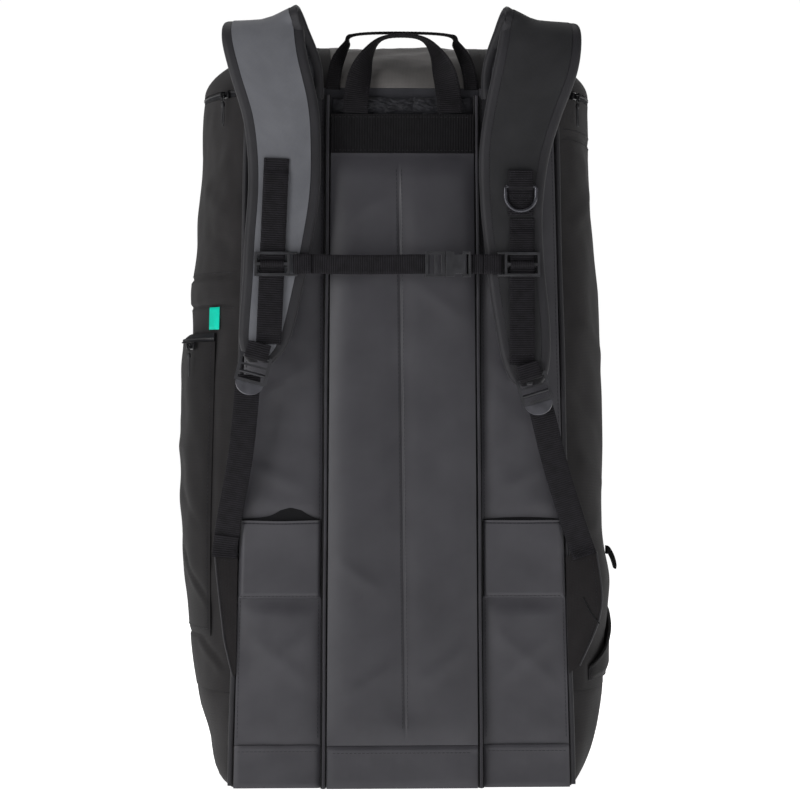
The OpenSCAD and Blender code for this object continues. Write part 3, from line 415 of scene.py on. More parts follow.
def ridgedTube(name, path, acrossDir, radius, toothMm, body):
    # zip coil: a round section whose radius rises and falls with each tooth
    path = np.asarray(path, float)
    run = np.concatenate([[0], np.cumsum(np.linalg.norm(np.diff(path, axis=0), axis=1))])
    count = int(run[-1] / toothMm * 4)
    spots = np.linspace(0, run[-1], count)
    fine = np.stack([np.interp(spots, run, path[:, k]) for k in range(3)], -1)
    ripple = 1 + 0.22 * np.sin(spots * 2 * math.pi / toothMm)
    prof = roundProfile(radius, 6) * (1, 0.75)
    n = len(fine)
    ahead = unit(np.gradient(fine, axis=0))
    rough = np.broadcast_to(np.asarray(acrossDir, float), fine.shape)
    across = unit(rough - (rough * ahead).sum(1, keepdims=True) * ahead)
    normal = np.cross(across, ahead)
    rings = fine[:, None] + (across[:, None] * prof[None, :, :1] + normal[:, None] * prof[None, :, 1:]) * ripple[:, None, None]
    points = rings.reshape(-1, 3)
    faces = gridFaces(n, 6, wrapCols=True)
    if outwardVolume(points - points.mean(0), faces) < 0:
        faces = faces[:, ::-1]
    caps = [np.arange(6)[None], (np.arange(6)[::-1] + (n - 1) * 6)[None]]
    uv = np.stack([np.tile(np.arange(6), n), np.repeat(spots, 6)], -1)
    return makeMesh(name, points, [faces] + caps, uv, "coil", body)

bag = {"height": 700, "crown": 52, "topHalf": 154, "baseHalf": 172, "bulge": 81, "wall": 5, "hem": 43,
       "tub": 95, "back": -150, "front": 150, "crest": -20, "frameIn": 71, "frameOut": 81, "sideLow": 96, "sideTop": 692.5}

def backHalf(z):
    # half width of the back, straight from base to top
    return bag["baseHalf"] + (bag["topHalf"] - bag["baseHalf"]) * z / bag["height"]

def centreHalf(z):
    return 79 - 5 * z / bag["height"]

def frontY(z):
    # front face: rolls in over the lowest 140 mm as a quarter ellipse and leans in by a square law above 560
    z = np.asarray(z, float)
    foot = 45 * (1 - np.sqrt(np.maximum(0, 1 - ((140 - z) / 140) ** 2)))
    brow = 30 * np.minimum(1, np.maximum(0, z - 560) / 140) ** 2
    return bag["front"] - np.where(z < 140, foot, np.where(z > 560, brow, 0))

def fullness(z):
    # share of the full bulge of the side: a quarter ellipse over the lowest 300 mm, and a little less at the top
    low = 0.12 + 0.88 * np.sqrt(np.maximum(0, 1 - np.maximum(0, 1 - z / 300) ** 2))
    return low * (1 - 0.13 * np.clip((z - 500) / 140, 0, 1))

def sidePoint(z, t, off):
    # cubic Bezier curve from the back seam round to the front edge, moved in by off along its normal
    z, t, off = np.broadcast_arrays(np.asarray(z, float), np.asarray(t, float), np.asarray(off, float))
    h, f, fy = backHalf(z), fullness(z), frontY(z)
    px = (h + 1.2, h + bag["bulge"] * f, h + (bag["bulge"] - 6) * f, np.full_like(z, 88.1))
    py = (np.full_like(z, -144.6), np.full_like(z, -60.0), fy, fy)
    w = ((1 - t) ** 3, 3 * t * (1 - t) ** 2, 3 * t * t * (1 - t), t ** 3)
    d = (3 * (1 - t) ** 2, 6 * t * (1 - t), 3 * t * t)
    x, y = sum(a * b for a, b in zip(w, px)), sum(a * b for a, b in zip(w, py))
    dx = sum(a * (px[i + 1] - px[i]) for i, a in enumerate(d))
    dy = sum(a * (py[i + 1] - py[i]) for i, a in enumerate(d))
    size = np.sqrt(dx * dx + dy * dy)
    return np.stack([x - off * dy / size, y + off * dx / size, z], -1)

def trimmed(z, t, side):
    # how far the cloth sags out of the smooth outline: fuller low on the right, slimmer at the foot on the left
    z, t = np.asarray(z, float), np.asarray(t, float)
    if side > 0:
        low, high = np.clip(z / 55, 0, 1), np.clip((z - 195) / 65, 0, 1)
        sag = 8.5 * low * (2 - low) * (1 - high * high * (3 - 2 * high)) - 3.2 * np.exp(-((z - 145) / 36) ** 2)
    else:
        sag = -5.5 * np.exp(-((z - 44) / 26) ** 2)
    return sag * np.clip(np.sin(math.pi * t), 0, 1) ** 0.7

def mirrored(points, side):
    return points * np.array([side, 1, 1])

def overCrown(part, off, count):
    # side outline as (y, z): straight up the front, then a quarter ellipse over the crown, front or back of the crest
    turn = np.linspace(0, 1, count) * math.pi / 2
    if part == "front":
        z = np.linspace(bag["sideLow"], bag["height"], count)
        return np.stack([frontY(z) - off, z], -1)
    reach = (120 + 20 - off) if part == "crownFront" else (-130 + off)
    return np.stack([bag["crest"] + reach * np.cos(turn), bag["height"] + (bag["crown"] - off) * np.sin(turn)], -1)

def extruded(line, xs):
    # grid from a (y, z) line carried along the given x places
    line, xs = np.asarray(line, float), np.asarray(xs, float)
    grid = np.zeros((len(line), len(xs), 3))
    grid[:, :, 0] = xs
    grid[:, :, 1:] = line[:, None]
    return grid

def loft(name, rings, matKey, body, sharpDeg=50):
    # closed rings of points joined one to the next, with a flat face over the first and the last
    rings = np.asarray(rings, float)
    n, m = rings.shape[:2]
    points = rings.reshape(-1, 3)
    faces = gridFaces(n, m, wrapCols=True)
    if outwardVolume(points - points.mean(0), faces) < 0:
        faces, first, last = faces[:, ::-1], np.arange(m), np.arange(m)[::-1] + (n - 1) * m
    else:
        first, last = np.arange(m)[::-1], np.arange(m) + (n - 1) * m
    around = arcLengths(rings[:, np.r_[0:m, 0]], 1)
    along = arcLengths(rings, 0)
    r, c = np.divmod(faces, m)
    wrap = (c == 0) & (np.max(c, 1, keepdims=True) == m - 1) & (m > 2)
    u = np.where(wrap, around[r, m], around[r, c])
    uv = np.stack([u, along[r, c]], -1)
    caps = [first[None], last[None]]
    capUv = [points[k][..., :2] for k in caps]
    return makeMesh(name, points, [faces] + caps, [uv] + capUv, matKey, body, sharpDeg)

baseTub = {"cloth": "bodyCloth", "sag": 1.6, "rollMm": 9}

def tubRing(z, off, low):
    # outline of the base at one height: straight back, then the side curve round to the front and back again
    t = np.linspace(0, 1, 26)
    right = sidePoint(np.full(26, z), t, off - trimmed(z, t, 1))
    left = mirrored(sidePoint(np.full(26, z), t, off - trimmed(z, t, -1)), -1)
    h = backHalf(z) - 3.4 - off
    backY = bag["back"] + off if low else bag["back"] + 6.6 + off
    back = np.stack([np.linspace(-h, h, 9), np.full(9, backY), np.full(9, z)], -1)
    return np.concatenate([back, right, left[::-1]])

def buildBaseTub():
    # rings stacked from the middle of the floor out and up to the rim, then down inside to the floor again
    heights = [0, 0, 1.5, 4, 8, 14, 22, 31, 41, 42.6, 43.4, 52, 62, 73, 84, 93, 95]
    insets = [30, 7, 2.8, 0.9, 0.1, 0, 0, 0, 0, 0, 0, 0, 0, 0, 0, 0.1, 0.5]
    rings = []
    for z, inset in zip(heights, insets):
        ring = tubRing(z, inset, z < 43)
        soft = baseTub["sag"] * softNoise(np.arctan2(ring[:, 1], ring[:, 0]) * 190, np.full(len(ring), z), 60, 3)
        ring[:, :2] *= (1 - np.maximum(0, soft) * 0.004 * min(1, z / 20))[:, None]
        ring[:, 2] = z
        rings.append(ring)
    inner = [tubRing(z, 5, False) for z in (94, 80, 60, 44, 30, 18, 10, 5.2)]
    tub = loft("baseTub", rings + inner, baseTub["cloth"], "shell")
    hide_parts("base_floor", "base_wall")

buildBaseTub()

backPanels = {"cloth": "coatedSide", "puff": 3.6, "edge": 26, "wrinkle": 0.9}

def buildBackPanel(side):
    # flat panel between piping and corner cord that fills out by a rim ramp, with slow waves and shallow creases
    u = np.linspace(0, 1, 34)[None, :]
    z = np.concatenate([np.linspace(43.4, 70, 9), np.linspace(72, 668, 110), np.linspace(672, 699.6, 10)])[:, None]
    inner = centreHalf(z) + 3.2
    x = inner + (backHalf(z) - 3.3 - inner) * u
    width = (backHalf(z) - 3.3 - inner)
    ramp = edgeRamp(u * width, z - 43.4, (backPanels["edge"], width), (40, 656.2), 2.2)
    wave = softNoise(x, z, 150, 11 + side) * backPanels["wrinkle"] + softNoise(x, z, 42, 21 + side) * 0.35
    crease = folds(x, z, [(95, 520, 150, 560, 0.9, 7), (90, 420, 165, 380, 0.8, 8), (100, 300, 168, 330, 0.9, 6),
                          (88, 160, 160, 100, 1.1, 7), (92, 105, 150, 150, 0.8, 6), (90, 640, 140, 655, 0.8, 6)])
    sleeve = np.clip((z - 176) / 14, 0, 1) * np.clip((282 - z) / 14, 0, 1)
    hollow = np.exp(-((x - backHalf(z) + 14) / 20) ** 2) * np.clip((200 - z) / 60, 0, 1) * np.clip((z - 44) / 60, 0, 1)
    y = bag["back"] - ramp * (backPanels["puff"] * (1 - 0.85 * sleeve) + wave * (1 - sleeve) + crease - 2.6 * hollow)
    tuck = np.exp(-((x - backHalf(z) + 4) / 7) ** 2 - ((z - 166) / 22) ** 2) * (1.6 if side < 0 else 0.6)
    y = np.minimum(y + tuck, bag["back"] + 0.2 + 0.7 * tuck)
    outer = np.stack([x, np.broadcast_to(y, x.shape), np.broadcast_to(z, x.shape)], -1)
    back = outer.copy()
    back[..., 1] = -144.2
    name = "leftBackPanel" if side < 0 else "rightBackPanel"
    panel = slab(name, mirrored(outer, side), mirrored(back, side), backPanels["cloth"], "shell")
    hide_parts("left_back_panel" if side < 0 else "right_back_panel")
    lines = []
    for edge in (0.045, 0.955):
        k = int(round(edge * 33))
        lines.append((mirrored(outer[2:-2, k], side) + (0, -0.15, 0), (0, -1, 0)))
    stitches(name + "Stitch", lines, "shell", 4.2, 3.0, 0.34)

buildBackPanel(1)
buildBackPanel(-1)

centreBack = {"cloth": "coatedBack", "puff": 5.2, "seam": 2.4, "low": 43.5, "top": 673}

def seamX(z):
    # the middle seam leans: from x = 2.5 near the base to x = -3.5 near the top
    return 2.5 - 6.2 * (z - 73) / 543

def buildCentreBack():
    # two long pillows either side of the seam: rim ramp times puff, less a bell-shaped groove along the seam
    u = np.sort(np.concatenate([np.linspace(0, 1, 48), np.linspace(0.44, 0.56, 24)]))[None, :]
    z = np.concatenate([np.linspace(43.5, 60, 8), np.linspace(63, 628, 130), np.linspace(630, 673, 12)])[:, None]
    half = centreHalf(z) - 3.2
    x = half * (2 * u - 1) + seamX(z) * (1 - (2 * u - 1) ** 2)
    ramp = edgeRamp(u * 2 * half, z - 43.5, (30, 2 * half), (26, 588), 2.3)
    fromSeam = np.abs(x - seamX(z))
    groove = np.exp(-(fromSeam / 1.5) ** 2) * 1.7 + np.exp(-(fromSeam / 13) ** 2) * centreBack["seam"]
    fade = np.clip((628 - z) / 60, 0, 1) * np.clip((z - 44) / 30, 0, 1)
    wave = softNoise(x, z, 170, 5) * 0.8 + softNoise(x, z, 46, 6) * 0.25
    crease = folds(x, z, [(-65, 560, -20, 590, 0.7, 6), (60, 470, 20, 500, 0.6, 7), (-68, 230, -25, 200, 0.8, 6),
                          (66, 140, 15, 105, 0.8, 7), (-60, 90, -15, 120, 0.7, 6)])
    y = -160 - ramp * (centreBack["puff"] + wave + crease) + groove * fade * np.clip(ramp * 1.4, 0, 1)
    outer = np.stack([x, np.minimum(y, -159.2), np.broadcast_to(z, x.shape)], -1)
    back = outer.copy()
    back[..., 1] = -156.2
    panel = slab("centreBackPanel", outer, back, centreBack["cloth"], "shell")
    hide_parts("back_pocket_panel")
    zs = np.linspace(60, 618, 120)
    lines = []
    for side in (-2.6, 2.6):
        xs = seamX(zs) + side
        row = np.array([np.interp(zz, z[:, 0], np.arange(len(z))) for zz in zs])
        ys = np.array([np.interp(xx, x[int(r)], y[int(r)]) for xx, r in zip(xs, row)]) - 0.15
        lines.append((np.stack([xs, ys, zs], -1), (0, -1, 0)))
    stitches("centreSeamStitch", lines, "shell", 4.2, 3.0, 0.34)

buildCentreBack()

hem = {"cloth": "coatedSide", "roll": 1.8}

def buildHem():
    # lowest strip of the middle of the back: rolled at its foot, with a shallow fold under its upper edge
    u = np.linspace(0, 1, 30)[None, :]
    z = np.linspace(0.2, 42.8, 26)[:, None]
    half = centreHalf(z) - 3.2
    x = half * (2 * u - 1)
    ramp = edgeRamp(u * 2 * half, z + 2, (8, 2 * half), (12, 46.5), 2)
    y = -157.6 - ramp * hem["roll"] - 0.4 * softNoise(x, z, 40, 8) * ramp - 0.9 * np.exp(-((z - 39) / 2.2) ** 2)
    outer = np.stack([x, np.maximum(y, -160.4), np.broadcast_to(z, x.shape)], -1)
    back = outer.copy()
    back[..., 1] = -150.5
    strip = slab("centreHem", outer, back, hem["cloth"], "shell")
    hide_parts("centre_hem")
    line = outer[np.argmin(np.abs(z[:, 0] - 36))][1:-1] + (0, -0.2, 0)
    stitches("hemStitch", [(line, (0, -1, 0))], "shell", 4.2, 3.0, 0.34)

buildHem()

def buildSideHem(side):
    # foot of the side back panels: a flat folded strip between the piping and the corner, with a soft upper fold
    u = np.linspace(0, 1, 26)[None, :]
    z = np.linspace(0.4, 43.2, 22)[:, None]
    x0, x1 = centreHalf(z) + 3.2, backHalf(z) - 3.4
    x = x0 + (x1 - x0) * u
    ramp = edgeRamp(u * 90, z + 1, (6, 90), (6, 48), 2)
    y = -150.3 - 1.9 * ramp - 0.5 * softNoise(x, z, 50, 18 + side) * ramp - 0.7 * np.exp(-((z - 40) / 2.0) ** 2)
    outer = np.stack([x, y, np.broadcast_to(z, x.shape)], -1)
    back = outer.copy()
    back[..., 1] = -150.1
    name = "leftHem" if side < 0 else "rightHem"
    slab(name, mirrored(outer, side), mirrored(back, side), "coatedSide", "shell")
    row = outer[np.argmin(np.abs(z[:, 0] - 36.5))][1:-1] + (0, -0.2, 0)
    stitches(name + "Stitch", [(mirrored(row, side), (0, -1, 0))], "shell", 4.2, 3.0, 0.3)

buildSideHem(1)
buildSideHem(-1)

band = {"cloth": "bandWebbing", "low": 634, "high": 673}

def buildBand():
    # wide webbing across the top of the middle panel, with upright ribs from its weave and a thicker selvedge
    u = np.linspace(0, 1, 40)[None, :]
    v = np.array([0, 0.02, 0.05, 0.1, 0.5, 0.9, 0.95, 0.98, 1])[:, None]
    z = band["low"] + (band["high"] - band["low"]) * v
    half = centreHalf(z) - 3.3
    x = half * (2 * u - 1)
    edge = 0.35 * np.exp(-(np.minimum(v, 1 - v) / 0.04) ** 2)
    y = -161.5 - edge * 0.6 - 0.25 * softNoise(x, z, 60, 9)
    outer = np.stack([x, np.broadcast_to(y, x.shape), np.broadcast_to(z, x.shape)], -1)
    back = outer.copy()
    back[..., 1] = -160.25
    strip = slab("topBandWebbing", outer, back, band["cloth"], "shell")
    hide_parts("webbing_band")
    rows = []
    for zz in (637, 670):
        xs = np.linspace(-centreHalf(zz) + 6, centreHalf(zz) - 6, 60)
        rows.append((np.stack([xs, np.full(60, -162.0), np.full(60, zz)], -1), (0, -1, 0)))
    stitches("bandStitch", rows, "shell", 4.2, 3.0, 0.34)

buildBand()

pipings = {"cordRadius": 1.45, "front": -159.5}

def buildPipings():
    # each side has a dark gusset strip set back between the panels, with one covered cord standing along its middle
    for side, word in ((-1, "Left"), (1, "Right")):
        z = np.linspace(0.5, 691.8, 110)
        path = np.stack([side * centreHalf(z) + 0.2 * np.sin(z / 37), np.full(110, pipings["front"]) + 0.15 * np.sin(z / 23), z], -1)
        cord = sweep("pipingCord" + word, path, (1, 0, 0), roundProfile(pipings["cordRadius"], 14), "pipingCloth", "shell")
        x = np.array([-2.7, -1.6, 0, 1.6, 2.7])
        grid = np.stack(np.broadcast_arrays(side * centreHalf(z)[:, None] + x, -157.6 + 0 * x, z[:, None]), -1)
        back = grid.copy()
        back[..., 1] = -150.4
        gusset = slab("pipingGusset" + word, grid, back, "gussetCloth", "shell")
        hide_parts("upright_pipings")
        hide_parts("upright_pipings")

buildPipings()

def buildCornerCords():
    # covered cord in the seam between the back and each side
    for side in (-1, 1):
        z = np.linspace(3, 697, 100)
        path = np.stack([side * backHalf(z), np.full(100, -148.0), z], -1)
        path[:, 0] += side * 0.35 * np.sin(z / 31)
        cord = sweep("cornerCord" + ("Left" if side < 0 else "Right"), path, (1, 0, 0), roundProfile(2.5, 14),
                     "binding", "shell")
        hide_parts("seam_cords")

buildCornerCords()

innerFold = {"cloth": "liningCloth", "low": 676, "high": 689}

def buildInnerFold():
    # lining that spills from the back pocket's mouth: a strip with sharp crumples running up and across it
    u = np.linspace(0, 1, 120)[None, :]
    v = np.linspace(0, 1, 26)[:, None]
    x = 69.5 * (2 * u - 1) * np.ones_like(v)
    z = 664 + 26 * v + 1.6 * softNoise(x, 0 * x, 30, 14) * v
    crumple = np.abs(softNoise(x, z * 2.2, 13, 15)) * 2.6 + np.abs(softNoise(x, z, 34, 16)) * 2.2
    y = -153.2 - (1.2 + crumple) * np.sin(np.clip((z - 668) / 22, 0, 1) * math.pi * 0.82) * edgeRamp(u * 139, v * 99, (12, 139), (1, 400), 2)
    outer = np.stack([x, np.maximum(y, -160.0), z], -1)
    back = outer.copy()
    back[..., 1] = np.minimum(outer[..., 1] + 0.8, -150.4)
    strip = slab("pocketMouthLining", outer, back, innerFold["cloth"], "shell", 80)

buildInnerFold()

sleeves = {"depth": 8.6, "low": 190, "top": 268, "cloth": "coatedSide", "flat": 4.6}

def buildSleeve(side):
    # flat pouch sewn on three sides; its upper edge is straight, and on the left the cloth behind it opens a deep mouth
    u = np.linspace(0, 1, 44)[None, :]
    v = np.concatenate([np.linspace(0, 0.1, 8), np.linspace(0.13, 0.93, 34), np.linspace(0.945, 1, 10)])[:, None]
    dip = (0.8 if side < 0 else 0.3) * np.sin(math.pi * u) ** 2
    z = sleeves["low"] + (sleeves["top"] - dip - sleeves["low"]) * v
    x0, x1 = centreHalf(z) + 3.6, backHalf(z) - 4.2
    x = x0 + (x1 - x0) * u
    rim = (1 - (1 - np.minimum(1, np.minimum(u, 1 - u) * 22)) ** 2) * (1 - (1 - np.minimum(1, v * 14)) ** 2)
    bow = sleeves["depth"] - sleeves["flat"] - 1.2
    mouthShare = np.sin(math.pi * u) ** 1.2 * v ** 3 * (1.0 if side < 0 else 0.35)
    y = -150.6 - sleeves["flat"] * (0.22 + 0.78 * rim) - bow * mouthShare - rim * 0.4 * softNoise(x, z, 60, 31 + side)
    y = y + 0.7 * np.exp(-((v - 0.972) / 0.01) ** 2) * rim
    outer = np.stack([x, np.maximum(y, -159.2), z], -1)
    back = outer.copy()
    back[..., 1] = np.minimum(outer[..., 1] + 1.0, -150.4)
    name = "leftSleeve" if side < 0 else "rightSleeve"
    pouch = slab(name, mirrored(outer, side), mirrored(back, side), sleeves["cloth"], "shell")
    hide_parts("left_sleeve" if side < 0 else "right_sleeve")
    # painted shade in the open mouth: a near-black lens of cloth standing a little above the edge, where the inside of
    # the sleeve lies in shadow
    hump = 12.2 * np.exp(-((u - 0.37) / 0.19) ** 2) + 2.5 * np.sin(math.pi * u) ** 0.6
    rise = (hump if side < 0 else 2.2 * np.sin(math.pi * u) ** 0.7) + 0.6
    w = np.linspace(0, 1, 10)[:, None]
    zl = sleeves["top"] - 5 + (rise + 5) * w
    xl = centreHalf(zl) + 5 + (backHalf(zl) - 5.6 - centreHalf(zl) - 5) * u
    yl = -151.4 - 2.3 * np.sin(math.pi * u) ** 0.5 * (1 - w ** 2) - (1.6 * w if side < 0 else 0.4 * w)
    lens = np.stack(np.broadcast_arrays(xl, yl, zl), -1)
    lensBack = lens.copy()
    lensBack[..., 1] = np.minimum(lens[..., 1] + 0.7, -150.2)
    shadeSheet = slab(name + "Lining", mirrored(lens, side), mirrored(lensBack, side), "sleeveLining", "shell")
    rows = []
    for k in (2, len(z) - 7):
        rows.append((mirrored(outer[k, 1:-1], side) + (0, -0.25, 0), (0, -1, 0)))
    stitches(name + "Stitch", rows, "shell", 4.0, 2.9, 0.3)

buildSleeve(1)
buildSleeve(-1)
print("back made")

crown = {"cloth": "crownCloth", "sag": 2.2}

def sagging(grid, normalSign, amount, seed, sizeMm, ramp):
    # moves a grid along its own normals by smooth noise, kept to the inside of the outline
    across = np.gradient(grid, axis=1)
    along = np.gradient(grid, axis=0)
    normal = unit(np.cross(across, along)) * normalSign
    u = arcLengths(grid, 1)
    v = arcLengths(grid, 0)
    wave = softNoise(u + 0 * v, v, sizeMm, seed) * 0.6 - 0.5 + softNoise(u, v, sizeMm * 0.3, seed + 1) * 0.15
    return grid + normal * (wave * amount * ramp)[..., None]

def buildTopPanel():
    # back half of the crown between the zips: a quarter ellipse from the back's top edge to the crest, a little slack
    xs = np.linspace(-70.6, 70.6, 44)
    outer = extruded(overCrown("crownBack", 0, 40), xs)
    u, v = np.linspace(0, 1, 44)[None, :], np.linspace(0, 1, 40)[:, None]
    ramp = edgeRamp(u * 141, v * 145, (25, 141), (16, 145), 2)
    outer = sagging(outer, 1, -crown["sag"] if outwardUp(outer) else crown["sag"], 41, 60, ramp)
    back = extruded(overCrown("crownBack", 4.8, 40), xs)
    panel = slab("crownPanel", outer, back, crown["cloth"], "shell")
    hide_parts("top_panel")

def outwardUp(grid):
    # whether the grid's own normal points upwards on the whole
    n = np.cross(np.gradient(grid, axis=1), np.gradient(grid, axis=0))
    return n[..., 2].sum() < 0

buildTopPanel()

cover = {"cloth": "bodyCloth", "sag": 2.0}

def buildFrontCover():
    # long cover from the base up the front and over the crown, with a sewn pocket line across it
    xs = np.linspace(-63.7, 63.7, 46)
    line = np.concatenate([overCrown("front", 0, 90), overCrown("crownFront", 0, 36)[1:-1], [[-18.9, 750.2]]])
    inside = np.concatenate([overCrown("front", 4.8, 90), overCrown("crownFront", 4.8, 36)[1:-1], [[-18.9, 746.5]]])
    outer = extruded(line, xs)
    u = np.linspace(0, 1, 46)[None, :]
    v = np.linspace(0, 1, len(line))[:, None]
    ramp = edgeRamp(u * 127, v * 760, (18, 127), (18, 760), 2)
    normal = unit(np.cross(np.gradient(outer, axis=1), np.gradient(outer, axis=0)))
    if normal[10, 20, 1] > 0:
        normal = -normal
    wave = softNoise(outer[..., 0], outer[..., 2], 150, 43) * 0.5 + 0.5
    seams = np.exp(-((outer[..., 2] - 430) / 1.6) ** 2) * 1.5 + np.exp(-((outer[..., 2] - 186) / 1.6) ** 2) * 1.5
    outer = outer + normal * ((wave * cover["sag"]) * ramp + seams * np.clip(ramp * 3, 0, 1))[..., None]
    panel = slab("frontCover", outer, extruded(inside, xs), cover["cloth"], "front_door")
    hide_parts("front_cover")
    rows = []
    for z in (425.5, 434.5, 181.5, 190.5):
        xx = np.linspace(-60, 60, 60)
        rows.append((np.stack([xx, np.full(60, 149.9), np.full(60, z)], -1), (0, 1, 0)))
    stitches("frontCoverStitch", rows, "front_door", 4.2, 3.0, 0.34)

buildFrontCover()

def crownZip(name, x0, x1, parts, body, nodeName, matKey, off=0.3, depth=5.0):
    # tape carried over the body along the same outline, between two x places
    line = np.concatenate([overCrown(p, off, 60)[::s] for p, s in parts])
    inside = np.concatenate([overCrown(p, depth, 60)[::s] for p, s in parts])
    xs = np.linspace(x0, x1, 6)
    tape = slab(name, extruded(line, xs), extruded(inside, xs), matKey, body)
    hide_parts(nodeName)
    return line

def buildZips():
    whole = [("front", 1), ("crownFront", 1), ("crownBack", -1)]
    for side, word in ((-1, "Left"), (1, "Right")):
        crownZip("zipFrame" + word, side * 71, side * 81, whole, "shell", "zip_frames", "bodyCloth")
        line = np.concatenate([overCrown("front", 0.1, 60), overCrown("crownFront", 0.1, 60)[1:-2]])
        for x, part in ((71.6, "Inner"), (80.4, "Outer")):
            run = line if part == "Inner" else line[:60]
            path = np.stack([np.full(len(run), side * x), run[:, 0], run[:, 1]], -1)
            ridgedTube("zipCoil" + part + word, path, (1, 0, 0), 1.15, 2.0, "shell")
        crownZip("coverZipTape" + word, side * 64.2, side * 70.6, [("front", 1), ("crownFront", 1)], "front_door",
                 "front_cover_zip", "zipTape", 0.0, 1.8)

buildZips()

shoulder = {"cloth": "bodyCloth", "sag": 1.8}

def buildShoulder(side):
    # rounded upper corner: the outline of the top shrinks towards the crest by the cosine of the turn
    def ring(turn, off):
        k = math.cos(turn)
        z = 700.3 + (51.7 - off) * math.sin(turn)
        t = np.linspace(0, 1, 30)
        x0 = 78 if off else 81.3
        curve = sidePoint(np.full(30, 700.0), t, off)
        h = backHalf(700) + 1.2 - off
        back = np.stack([np.linspace(x0, h, 14), np.full(14, -150.0 + off), np.zeros(14)], -1)
        front = np.array([[x0, frontY(700.0) - off, 0]])
        flat = np.concatenate([back, curve[1:], front, np.stack([np.full(8, x0), np.linspace(120 - off, -150 + off, 10)[1:-1], np.zeros(8)], -1)])
        soft = shoulder["sag"] * (softNoise(flat[:, 0] * 1.0, flat[:, 1] + z, 70, 47 + side) * 0.5 - 0.5) * math.sin(2 * turn) if not off else 0
        x = x0 + (flat[:, 0] - x0) * k
        y = bag["crest"] + (flat[:, 1] - bag["crest"]) * k
        return np.stack([x, y, np.full(len(x), z) + soft], -1)
    turns = np.linspace(0, 1.52, 24)
    rings = [ring(t, 5) for t in turns[::-1]] + [ring(t, 0) for t in turns]
    rings[24] = ring(0, 0)
    name = "leftShoulderPanel" if side < 0 else "rightShoulderPanel"
    panel = loft(name, mirrored(np.array(rings), side), shoulder["cloth"], "shell", 60)
    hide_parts("left_shoulder_panel" if side < 0 else "right_shoulder_panel")

buildShoulder(1)
buildShoulder(-1)
print("crown and front made")

sides = {"cloth": "bodyCloth", "wave": 1.7, "seamDepth": 1.6}

def doorShape(side, z, t):
    # how far the side stands off its outline: rim ramp times slow waves, sewn grooves and fold creases
    ramp = edgeRamp(t * 300, z - 96, (26, 300), (14, 596.5), 2)
    wave = softNoise(t * 300, z, 120, 51 + side) * sides["wave"] + softNoise(t * 300, z, 36, 53 + side) * 0.35
    if side < 0:
        grooves = sum(np.exp(-((z - g) / 1.7) ** 2) for g in (484, 513))
        creases = folds(t * 300, z, [(14, 122, 66, 152, -1.9, 3.4), (14, 114, 66, 144, 1.1, 5), (10, 230, 60, 215, -1.4, 9),
            (20, 640, 80, 600, 1.6, 10), (25, 575, 90, 610, 1.5, 9), (14, 540, 60, 560, -1.2, 8)])
    else:
        grooves = np.exp(-((z - 655) / 1.7) ** 2)
        creases = folds(t * 300, z, [(15, 560, 90, 610, 1.6, 9), (20, 470, 100, 430, 1.9, 10), (12, 400, 80, 350, -1.4, 9),
            (16, 330, 90, 300, 1.7, 9), (14, 250, 60, 262, 1.5, 8), (20, 640, 70, 625, 1.2, 8)])
    band = 0.9 * np.clip((z - 484) / 2, 0, 1) * np.clip((513 - z) / 2, 0, 1) if side < 0 else 0
    calm = 0.35 + 0.65 * np.clip((z - 100) / 120, 0, 1)
    return ramp * (wave * calm + creases + band - sides["seamDepth"] * grooves)

def buildDoor(side):
    # side of the bag as one curved sheet, thick enough to hold its shape
    z = np.concatenate([[95.3], np.linspace(96.5, 692.4, 170)])[:, None]
    t = np.linspace(0, 1, 70)[None, :]
    off = -doorShape(side, z, t)
    if side < 0:
        pocket = (t > 0.1) & (t < 0.8) & (z > 146) & (z < 460)
    else:
        pocket = (t > 0.08) & (t < 0.74) & (z > 98) & (z < 118 + (t - 0.1) / 0.62 * 87 + 4)
    off = np.where(pocket, np.maximum(off, 0.3), off) - trimmed(z, t, side)
    outer = sidePoint(z, t, off)
    inner = sidePoint(z, t, 5.0 - trimmed(z, t, side))
    body, word = ("left_door", "left") if side < 0 else ("right_door", "right")
    panel = slab(word + "SidePanel", mirrored(outer, side), mirrored(inner, side), sides["cloth"], body)
    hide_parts(word + "_side_panel")
    lines = []
    for g in ((481, 516) if side < 0 else (651, 659)):
        k = int(np.argmin(np.abs(z[:, 0] - g)))
        lines.append((mirrored(sidePoint(z[k, 0], t[0, 2:-2], off[k, 2:-2] - 0.15), side), (side, 0, 0)))
    stitches(word + "SideStitch", lines, body, 4.2, 3.0, 0.34)

buildDoor(1)
buildDoor(-1)

def buildSideZip(side):
    # zip tape along the top edge and down the front edge of the side, with a coil along the top edge
    body, word = ("left_door", "left") if side < 0 else ("right_door", "right")
    t = np.linspace(0.03, 1, 60)[None, :]
    z = np.array([692.9, 694.5, 697, 699.0])[:, None]
    outer = sidePoint(z, t, 0.2 + 0 * z * t)
    inner = sidePoint(z, t, 3.2 + 0 * z * t)
    top = slab(word + "TopZipTape", mirrored(outer, side), mirrored(inner, side), "zipTape", body)
    line = overCrown("front", 0.2, 80)
    inside = overCrown("front", 3.2, 80)
    keep = line[:, 1] < 699
    xs = side * np.linspace(81.4, 87.7, 5)
    strip = slab(word + "FrontZipTape", extruded(line[keep], xs), extruded(inside[keep], xs), "zipTape", body)
    for piece in (top, strip):
        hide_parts(word + "_side_zip")
    path = mirrored(sidePoint(np.full(60, 698.0), t[0], np.full(60, 0.3)), side)
    ridgedTube(word + "TopZipCoil", path, (0, 0, 1), 1.1, 2.0, body)

buildSideZip(1)
buildSideZip(-1)

pockets = {"left": {"t0": 0.12, "t1": 0.78, "low": 150, "tops": (447, 447), "swell": 9, "folds": 1.6},
           "right": {"t0": 0.1, "t1": 0.72, "low": 104, "tops": (118, 205), "swell": 3.6, "folds": 0.7}}

